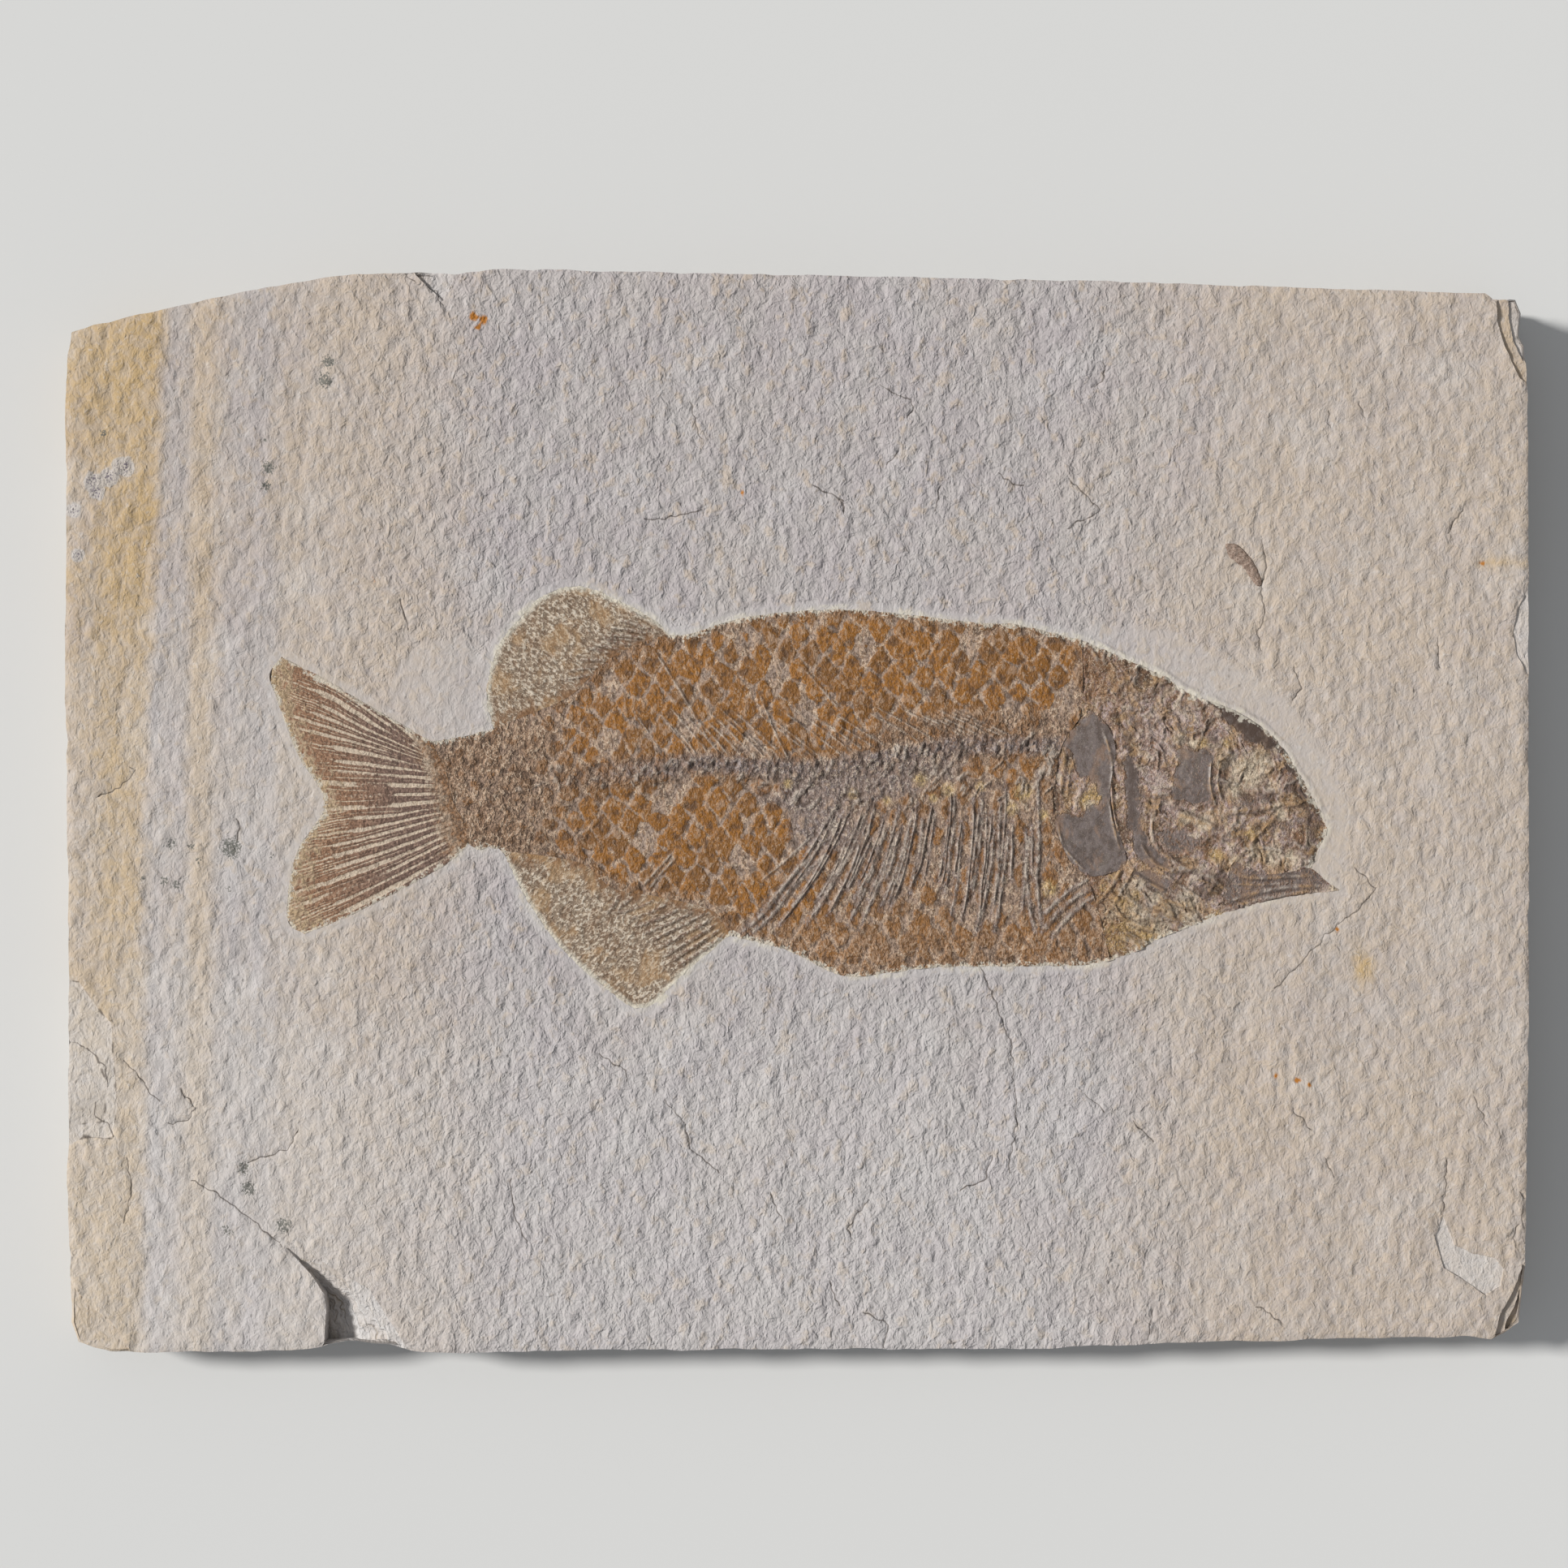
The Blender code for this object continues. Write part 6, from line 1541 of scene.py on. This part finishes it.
# ---- The lower jaw -----------------------------------------------------------------------
# One wedge of dark bone, ridged along its length, with a pale chip at the very tip. It is
# bedded in the stone like the rest of the head, and lies against the cheek and the throat.
JAW_PLATES = [(0.3, 0.75, [(104.4, -19.8), (107.4, -12.0), (115.7, -15.0), (126.5, -13.4),
                           (131.0, -17.0), (129.0, -20.0), (118.0, -21.4), (107.0, -24.0)])]
JAW_LINES = [
    ([(105.4, -22.6), (113.0, -20.2), (121.0, -18.8), (130.6, -18.4)], 0.5, 0.36),
    ([(104.6, -24.4), (113.0, -22.0), (122.0, -20.4), (129.6, -19.4)], 0.5, 0.3),
    ([(107.4, -15.6), (113.0, -16.6), (121.0, -16.2), (127.6, -15.8)], 0.4, 0.2),
    ([(108.0, -18.0), (114.0, -18.2), (122.0, -17.6)], 0.3, 0.18),
]
jaw_loop = loop_of(straight(JAW_FRONT, BONE_STEP), bone_curve(JAW_UNDER), bone_curve(JAW_TOP))


def jaw_top(x, y):
    high, plain = plates_at(JAW_PLATES, x, y)
    height, _, _ = crushed(x, y, 180)
    return (body_top(x, y) + 0.6 * high + height * (1.0 - 0.85 * plain)
            + raised(JAW_LINES, x, y)[0] + 0.04 * swell(x, 4.0 * y, 2.2, 183))


jaw = skinned("jaw_bone", jaw_loop, bone_points(jaw_loop, JAW_LINES, 104), jaw_top, [FISH_BED])
stain_bone(jaw, JAW_PLATES, JAW_LINES, [], 180, [(104.0, -25.4, 2.0)], [(132.4, -19.0, 1.8)],
           [(131.0, -17.8, 6.5), (124.0, -19.4, 6.5), (116.0, -21.4, 6.0), (109.0, -23.4, 5.5),
            (117.0, -18.0, 5.0)])
stain(jaw, "margin", np.full(len(jaw.data.vertices), 4.0))
set_piece(jaw, crushed_bone("jaw bone"), "gill_plate", "lower_jaw")

# ---- The tail fin ------------------------------------------------------------------------
# Dark rays fan out from the tail's root over a cream film. Each one is jointed across and
# splits in two and then in four towards the margin, where the film turns ochre.
TAIL_RAYS = [
    [(-126.1, 37.4), (-116.5, 32.6), (-108.5, 27.4), (-100.5, 22.0), (-92.5, 14.8), (-86.9, 10.2)],
    [(-127.5, 34.6), (-116.5, 30.4), (-108.5, 25.8), (-102.5, 21.2), (-94.5, 14.8)],
    [(-127.9, 32.2), (-116.5, 26.8), (-106.5, 21.2), (-96.5, 15.4)],
    [(-127.5, 29.8), (-116.5, 24.2), (-106.5, 19.4), (-96.5, 14.8)],
    [(-126.5, 26.2), (-116.5, 21.8), (-104.5, 17.4), (-92.5, 12.8)],
    [(-126.1, 23.8), (-116.5, 19.8), (-106.5, 16.8), (-94.5, 12.8)],
    [(-125.5, 20.2), (-116.5, 17.6), (-106.5, 15.4), (-92.5, 11.4)],
    [(-124.5, 16.8), (-116.5, 14.4), (-106.5, 12.8), (-92.5, 10.8)],
    [(-121.5, 12.2), (-112.5, 10.8), (-102.5, 9.8), (-90.5, 8.8)],
    [(-120.5, 8.8), (-112.5, 8.2), (-100.5, 7.8), (-88.5, 7.4)],
    [(-118.5, 5.4), (-108.5, 5.0), (-96.5, 5.0), (-87.5, 5.4)],
    [(-118.5, 2.2), (-108.5, 2.4), (-96.5, 3.0), (-86.9, 3.6)],
    [(-118.1, -1.2), (-108.5, -0.6), (-96.5, 0.2), (-86.5, 1.4)],
    [(-120.9, -4.6), (-112.5, -3.4), (-100.5, -2.2), (-88.5, -0.8)],
    [(-122.1, -8.2), (-110.5, -6.8), (-100.5, -4.2), (-86.5, -1.2)],
    [(-125.5, -11.2), (-112.5, -9.2), (-100.5, -6.2), (-85.5, -2.2)],
    [(-126.1, -16.2), (-114.5, -13.0), (-102.5, -9.2), (-84.5, -3.2)],
    [(-126.5, -19.2), (-116.5, -16.2), (-104.5, -12.2), (-92.5, -7.8), (-83.5, -3.8)],
    [(-126.5, -22.6), (-116.5, -19.6), (-104.5, -15.2), (-92.5, -9.8), (-82.5, -4.6)],
    [(-126.1, -26.2), (-114.5, -21.8), (-104.5, -17.8), (-92.5, -11.6), (-82.1, -6.2)],
    [(-124.1, -28.6), (-112.5, -23.6), (-100.5, -17.6), (-90.5, -12.6), (-81.5, -7.2)],
]
TAIL_COLUMNS = 16          # steps from one ray to the next
TAIL_ROWS = 128            # steps from the root to the margin
FIN_LEVEL = -0.27
RAY_LIFT = 0.3


def at_shares(path, shares):
    """The points at the given shares of a path's length."""
    path = np.asarray(path, float)
    passed = np.concatenate([[0.0], np.cumsum(np.hypot(*np.diff(path, axis=0).T))])
    passed /= passed[-1]
    return np.column_stack([np.interp(shares, passed, path[:, 0]),
                            np.interp(shares, passed, path[:, 1])])


def share_near(path, spot):
    fine = at_shares(path, np.linspace(0.0, 1.0, 400))
    return np.argmin(np.hypot(*(fine - spot).T)) / 399


root, margin = smooth(TAIL_ROOT[::-1], 0.5), smooth(TAIL_END[::-1], 0.5)
count = len(TAIL_RAYS)
root_shares = np.maximum.accumulate([share_near(root, ray[-1]) for ray in TAIL_RAYS])
root_shares = 0.5 * root_shares + 0.5 * np.linspace(0.05, 0.95, count)
margin_shares = np.maximum.accumulate([share_near(margin, ray[0]) for ray in TAIL_RAYS])
margin_shares = 0.85 * margin_shares + 0.15 * np.linspace(0.03, 0.97, count)
down = np.linspace(0.0, 1.0, TAIL_ROWS + 1)
rays = [at_shares(smooth(TAIL_UPPER[::-1], 0.5), down)]
for ray, from_root, to_margin in zip(TAIL_RAYS, root_shares, margin_shares):
    first, last = at_shares(root, [from_root]), at_shares(margin, [to_margin])
    rays.append(at_shares(smooth(np.vstack([first, ray[::-1][1:-1], last]), 0.5), down))
rays.append(at_shares(smooth(TAIL_LOWER, 0.5), down))
rays = np.array(rays)
across = np.linspace(0.0, count + 1.0, (count + 1) * TAIL_COLUMNS + 1)
low = np.minimum(across.astype(int), count)
part = (across - low)[:, None, None]
grid = rays[low] * (1.0 - part) + rays[low + 1] * part
u = np.repeat(across[:, None], TAIL_ROWS + 1, axis=1)
v = np.repeat(down[None, :], len(across), axis=0)


def ray_profile(u, v):
    """A ray is one ridge near the root, two from its middle and four at its end."""
    off = u - np.round(u)
    one = clipped(1.0 - (off / 0.36) ** 4) - 0.45 * np.exp(-(off / 0.05) ** 2)
    two = clipped(1.0 - ((np.abs(off) - 0.17) / 0.16) ** 4)
    four = clipped(1.0 - ((np.abs(np.abs(off) - 0.22) - 0.12) / 0.11) ** 2)
    first, second = eased(v, 0.35, 0.55), eased(v, 0.76, 0.9)
    return one * (1.0 - first) + two * first * (1.0 - second) + four * second


gx, gy = grid[:, :, 0], grid[:, :, 1]
wobble = 0.05 * swell(gx, gy, 4.0, 203) + 0.03 * swell(gx, gy, 1.6, 204)
profile = ray_profile(u + wobble, v + 0.25 * swell(gx, gy, 8.0, 205))
openness = np.clip(0.92 + 1.0 * swell(u, 1.6 * v, 0.62, 207), 0.45, 1.5)
profile = clipped(1.0 - (1.0 - profile) * openness)
rootward = eased(v + 0.06 * swell(gx, gy, 2.5, 206), 0.2, 0.06)
profile = profile * (1.0 - 0.75 * rootward)
joints = 0.82 + 0.18 * np.cos(2 * np.pi * (v * 34.0 + 0.25 * np.round(u)))
gz = (FACE_LEVEL + FIN_LEVEL + RAY_LIFT * profile * joints * (1.0 - 0.35 * v)
      + (0.07 + 0.12 * rootward) * swell(gx, gy, 1.1, 201) + 0.07 * swell(gx, gy, 2.6, 202)
      + 0.08 * rootward)
index = np.arange(gx.size).reshape(gx.shape)
quads = np.stack([index[:-1, :-1], index[1:, :-1], index[1:, 1:], index[:-1, 1:]], -1)
quads = quads.reshape(-1, 4)
rim = np.concatenate([index[:, 0], index[-1, 1:], index[-2::-1, -1], index[0, -2:0:-1]])
tail_spots = np.column_stack([gx.ravel(), gy.ravel(), gz.ravel()])
edge = tail_spots[rim][:, :2]
turning = np.sum(edge[:, 0] * np.roll(edge[:, 1], -1) - np.roll(edge[:, 0], -1) * edge[:, 1])
if turning < 0:
    rim, quads, edge = rim[::-1], quads[:, ::-1], edge[::-1]
below = gx.size + np.arange(len(rim))
tail_spots = np.vstack([tail_spots, np.column_stack([edge, np.full(len(rim), FISH_BED)])])
upper = np.column_stack([quads[:, [0, 1, 2]], quads[:, [0, 2, 3]]]).reshape(-1, 3)
skirt = np.vstack([np.column_stack([rim, below, np.roll(below, -1)]),
                   np.column_stack([rim, np.roll(below, -1), np.roll(rim, -1)])])
ties = [(i, (i + 1) % len(rim)) for i in range(len(rim))]
low_plan, low_corners, low_place = filled(edge, ties)
number = np.zeros(len(low_plan), dtype=np.int64)
number[low_place] = below
underside = number[low_corners][:, ::-1]
tail = built("tail_rays", tail_spots, np.vstack([upper, skirt, underside]))
lay_out(tail.data, np.concatenate([np.zeros(len(upper), int), np.ones(len(skirt), int),
                                   np.full(len(underside), 2)]))
stain_margin(tail)
stain(tail, "outward", np.concatenate([v.ravel(), np.zeros(len(rim))]))
stain(tail, "ridge", np.concatenate([profile.ravel(), np.zeros(len(rim))]))

RAY_BROWN = srgb(118, 95, 84)
RAY_RED = srgb(144, 108, 82)
FILM_CREAM = srgb(197, 180, 160)
FILM_OCHRE = srgb(180, 156, 122)

rayed, tree, shader = new_finish("fin rays")
grain, fine, _ = use_grit(tree, 0.55, 0.7)
dust, dust_fine, _ = use_grit(tree, 1.8, 2.2)
outward_share = field(tree, "outward")
film = coated(FILM_CREAM, (ramp(plus(outward_share, times(dust, 0.8)), 1.1, 1.5), FILM_OCHRE),
              (ramp(grain, 0.48, 0.36, 0.0, 0.5), BODY_BROWN))
ray_tone = coated(RAY_BROWN, (ramp(outward_share, 0.35, 0.9), RAY_RED),
                  (ramp(grain, 0.48, 0.36, 0.0, 0.6), BODY_DARK_AND_SHADE),
                  (ramp(grain, 0.55, 0.66, 0.0, 0.5), VEIN_PINK_AND_HIGHLIGHT))
on_ray = ramp(plus(field(tree, "ridge"), times(dust_fine, 0.9)), 0.75, 1.05)
fade = ramp(plus(outward_share, times(dust, 0.6)), 1.16, 1.27, 1.0, 0.15)
root_tone = coated(BODY_BROWN, (ramp(dust_fine, 0.44, 0.6), SCALE_RED),
                   (ramp(grain, 0.48, 0.38, 0.0, 0.7), BODY_DARK_AND_SHADE),
                   (ramp(grain, 0.54, 0.64, 0.0, 0.6), VEIN_PINK_AND_HIGHLIGHT))
# Thin dark lines of painted shade in the film's creases
crease_shade = times(lines_at(grain, 0.45, 0.055), ramp(dust, 0.44, 0.58, 0.1, 0.6))
colour = coated(film, (times(on_ray, fade), ray_tone),
                (ramp(plus(outward_share, times(dust, 0.3)), 0.36, 0.16), root_tone),
                (crease_shade, BODY_DARK_AND_SHADE))
relief = mixed((grain, 0.34), (fine, 0.1), (dust, 0.25))
finish_off(shader, frayed(colour), 0.7, 0.35, relief)
set_piece(tail, rayed, "fin_ray", "tail_fin")

# ---- The fins of the back and belly ------------------------------------------------------
# Thin mottled film with the front rays still dark in it. Most of their rays have decayed to
# short flecks that run the way the rays did.
DORSAL_LINES = [
    ([(-31.9, 44.4), (-36.0, 46.6), (-41.7, 49.2)], 0.38, 0.28),
    ([(-33.6, 43.9), (-38.0, 45.4), (-44.0, 47.2)], 0.35, 0.28),
    ([(-36.3, 43.6), (-41.0, 44.6), (-46.5, 45.2)], 0.38, 0.30),
    ([(-37.1, 42.6), (-42.0, 43.2), (-46.8, 43.4)], 0.38, 0.30),
    ([(-38.6, 41.9), (-43.4, 42.4), (-49.0, 42.9)], 0.32, 0.25),
    ([(-40.5, 40.8), (-47.7, 42.2)], 0.32, 0.23),
    ([(-43.5, 39.8), (-50.5, 41.2)], 0.35, 0.25),
    ([(-46.1, 38.9), (-51.9, 40.6)], 0.32, 0.23),
    ([(-46.9, 37.2), (-54.3, 37.4)], 0.35, 0.23),
    ([(-48.5, 35.6), (-57.0, 34.6)], 0.29, 0.18),
    ([(-51.0, 33.6), (-58.0, 32.2)], 0.29, 0.16),
]
ANAL_LINES = [
    ([(-17.6, -30.0), (-23.0, -34.0), (-29.9, -38.4)], 0.49, 0.34),
    ([(-18.4, -28.6), (-24.0, -32.4), (-31.5, -37.0)], 0.46, 0.34),
    ([(-19.4, -27.4), (-25.0, -31.0), (-33.5, -36.0)], 0.43, 0.32),
    ([(-20.6, -26.2), (-27.0, -29.8), (-35.5, -34.4)], 0.41, 0.30),
    ([(-22.4, -25.0), (-29.0, -28.4), (-37.0, -32.4)], 0.38, 0.28),
    ([(-25.0, -24.4), (-31.0, -27.4), (-38.5, -30.4)], 0.35, 0.25),
    ([(-28.0, -23.6), (-34.0, -26.4), (-40.5, -28.6)], 0.35, 0.23),
    ([(-31.5, -22.6), (-37.0, -25.2), (-42.0, -26.6)], 0.32, 0.21),
    ([(-35.0, -21.8), (-40.0, -24.0), (-45.0, -25.2)], 0.29, 0.18),
    ([(-43.5, -20.4), (-47.5, -26.0)], 0.35, 0.18),
    ([(-40.5, -21.0), (-44.5, -24.4)], 0.32, 0.18),
]
FILM_BEIGE = srgb(162, 144, 124)
FILM_PALE = srgb(200, 188, 172)
FLECK_BROWN = srgb(88, 70, 58)


def mottled_film(name, length, long, lean):
    finish, tree, shader = new_finish(name)
    grain, fine, _ = use_grit(tree, length, long, lean)
    dust, dust_fine, _ = use_grit(tree, 2.6, 3.0)
    patch, _, _ = use_grit(tree, 8.0, 9.0)
    flecks = times(lines_at(grain, 0.48, 0.045), ramp(dust_fine, 0.4, 0.54, 0.2, 0.9))
    colour = coated(
        FILM_BEIGE,
        (ramp(grain, 0.5, 0.62), FILM_PALE),
        (ramp(dust, 0.48, 0.6, 0.0, 0.6), BODY_BROWN),
        (ramp(grain, 0.46, 0.36, 0.0, 0.6), FLECK_BROWN),
        (flecks, FLECK_BROWN),
        # Thin pale lines of painted glint
        (times(lines_at(grain, 0.56, 0.045), 0.7), PAINTED_GLINT),
        (patchy("near body", dust, 0.38, 0.56, 0.2, 0.9), coat(grain, BODY_BROWN, SCALE_RED)),
        (ramp(patch, 0.5, 0.64, 0.0, 0.5), BONE_OCHRE),
        (patchy("pale", dust, 0.3, 0.5, 0.4, 0.95),
         coat(ramp(dust_fine, 0.46, 0.56), RAY_BROWN, FILM_PALE)),
        # Painted shadow beside the front rays, with their fainter dark lines
        (times(field(tree, "dark"), 0.85), BODY_DARK_AND_SHADE),
        (patchy("edge", dust, 0.38, 0.56, 0.3, 0.9), STONE_RIM))
    finish_off(shader, frayed(colour), 0.85, 0.25, mixed((grain, 0.5), (fine, 0.12)))
    return finish


def film_fin(name, loop, base, lines, seed, lean, node):
    """A mottled fin at one level, with leaned flecks and its raised rays in the face."""
    def top(x, y):
        lift = raised(lines, x, y)[0]
        flecks = swell(x * math.cos(lean) - y * math.sin(lean),
                       0.5 * (x * math.sin(lean) + y * math.cos(lean)), 0.85, seed)
        return (FACE_LEVEL + FIN_LEVEL + 0.16 * flecks + 0.1 * swell(x, y, 2.4, seed + 1)
                + 0.06 + lift)

    fin = skinned(name, loop, bone_points(loop, lines, seed + 2), top, [FISH_BED])
    x, y, _ = plan_of(fin)
    _, pale, dark = raised(lines, x, y)
    off_base = reach(base, x, y, 8.0, closed=False)
    stain(fin, "pale", pale)
    stain(fin, "dark", dark)
    stain(fin, "near body", eased(off_base + 1.2 * swell(x, y, 2.2, seed + 3), 4.5, 0.5))
    stain_margin(fin)
    stain(fin, "edge", eased(reach(loop, x, y, 4.0), 1.8, 0.2) * eased(off_base, 1.0, 5.0))
    set_piece(fin, mottled_film(name.replace("_", " "), 0.6, 0.95, lean), "fin_membrane", node)


film_fin("back_fin", loop_of(bone_curve(DORSAL_EDGE), bone_curve(DORSAL_BASE)[::-1]),
         smooth(DORSAL_BASE, 1.0), DORSAL_LINES, 211, math.radians(-60.0), "dorsal_fin")
film_fin("belly_fin", loop_of(bone_curve(ANAL_EDGE), bone_curve(ANAL_BASE)[::-1]),
         smooth(ANAL_BASE, 1.0), ANAL_LINES, 221, math.radians(52.0), "anal_fin")

# ---- The coprolite -----------------------------------------------------------------------
# A sliver of fossil dung, brown-grey and pinched into segments. It lies in a hollow of its
# own in the face, above the fish's snout, and the stone round it holds it.
COPROLITE_SPINE = [(106.0, 65.4), (108.4, 63.8), (110.6, 61.2), (112.6, 58.4), (114.0, 56.2)]
COPROLITE_BED = 16.6
DUNG_LEVEL = 17.85         # its margin
DUNG_RISE = 0.55           # how much its back stands above that
DUNG_BROWN = srgb(128, 106, 92)
DUNG_PALE = srgb(166, 146, 132)
DUNG_DARK = srgb(74, 58, 48)


def dung_top(x, y):
    _, _, along = measure(COPROLITE_SPINE, x, y, 3.0)
    from_edge = clipped(reach(coprolite_loop, x, y, 1.4) / 1.4)
    round_over = np.sqrt(1.0 - (1.0 - from_edge) ** 2)
    pinch = 0.8 + 0.2 * np.cos(2 * np.pi * (5.2 * along + 0.25 * swell(x, y, 1.6, 232)))
    return DUNG_LEVEL + DUNG_RISE * round_over * pinch + 0.1 * swell(x, y, 0.8, 231)


x, y = lattice(coprolite_loop, 0.17, 0.15, 0.02, 105)
clear = reach(coprolite_loop, x, y, 0.3) > 0.12
dung = skinned("coprolite_sliver", coprolite_loop, np.column_stack([x[clear], y[clear]]),
               dung_top, [COPROLITE_BED])
brown, tree, shader = new_finish("coprolite")
grain, fine, _ = use_grit(tree, 0.45, 0.45)
colour = coated(DUNG_BROWN, (ramp(grain, 0.35, 0.65), DUNG_PALE),
                (ramp(fine, 0.48, 0.36, 0.0, 0.8), DUNG_DARK))
finish_off(shader, colour, 0.8, 0.5, times(grain, 0.2))
set_piece(dung, brown, "coprolite", "coprolite")
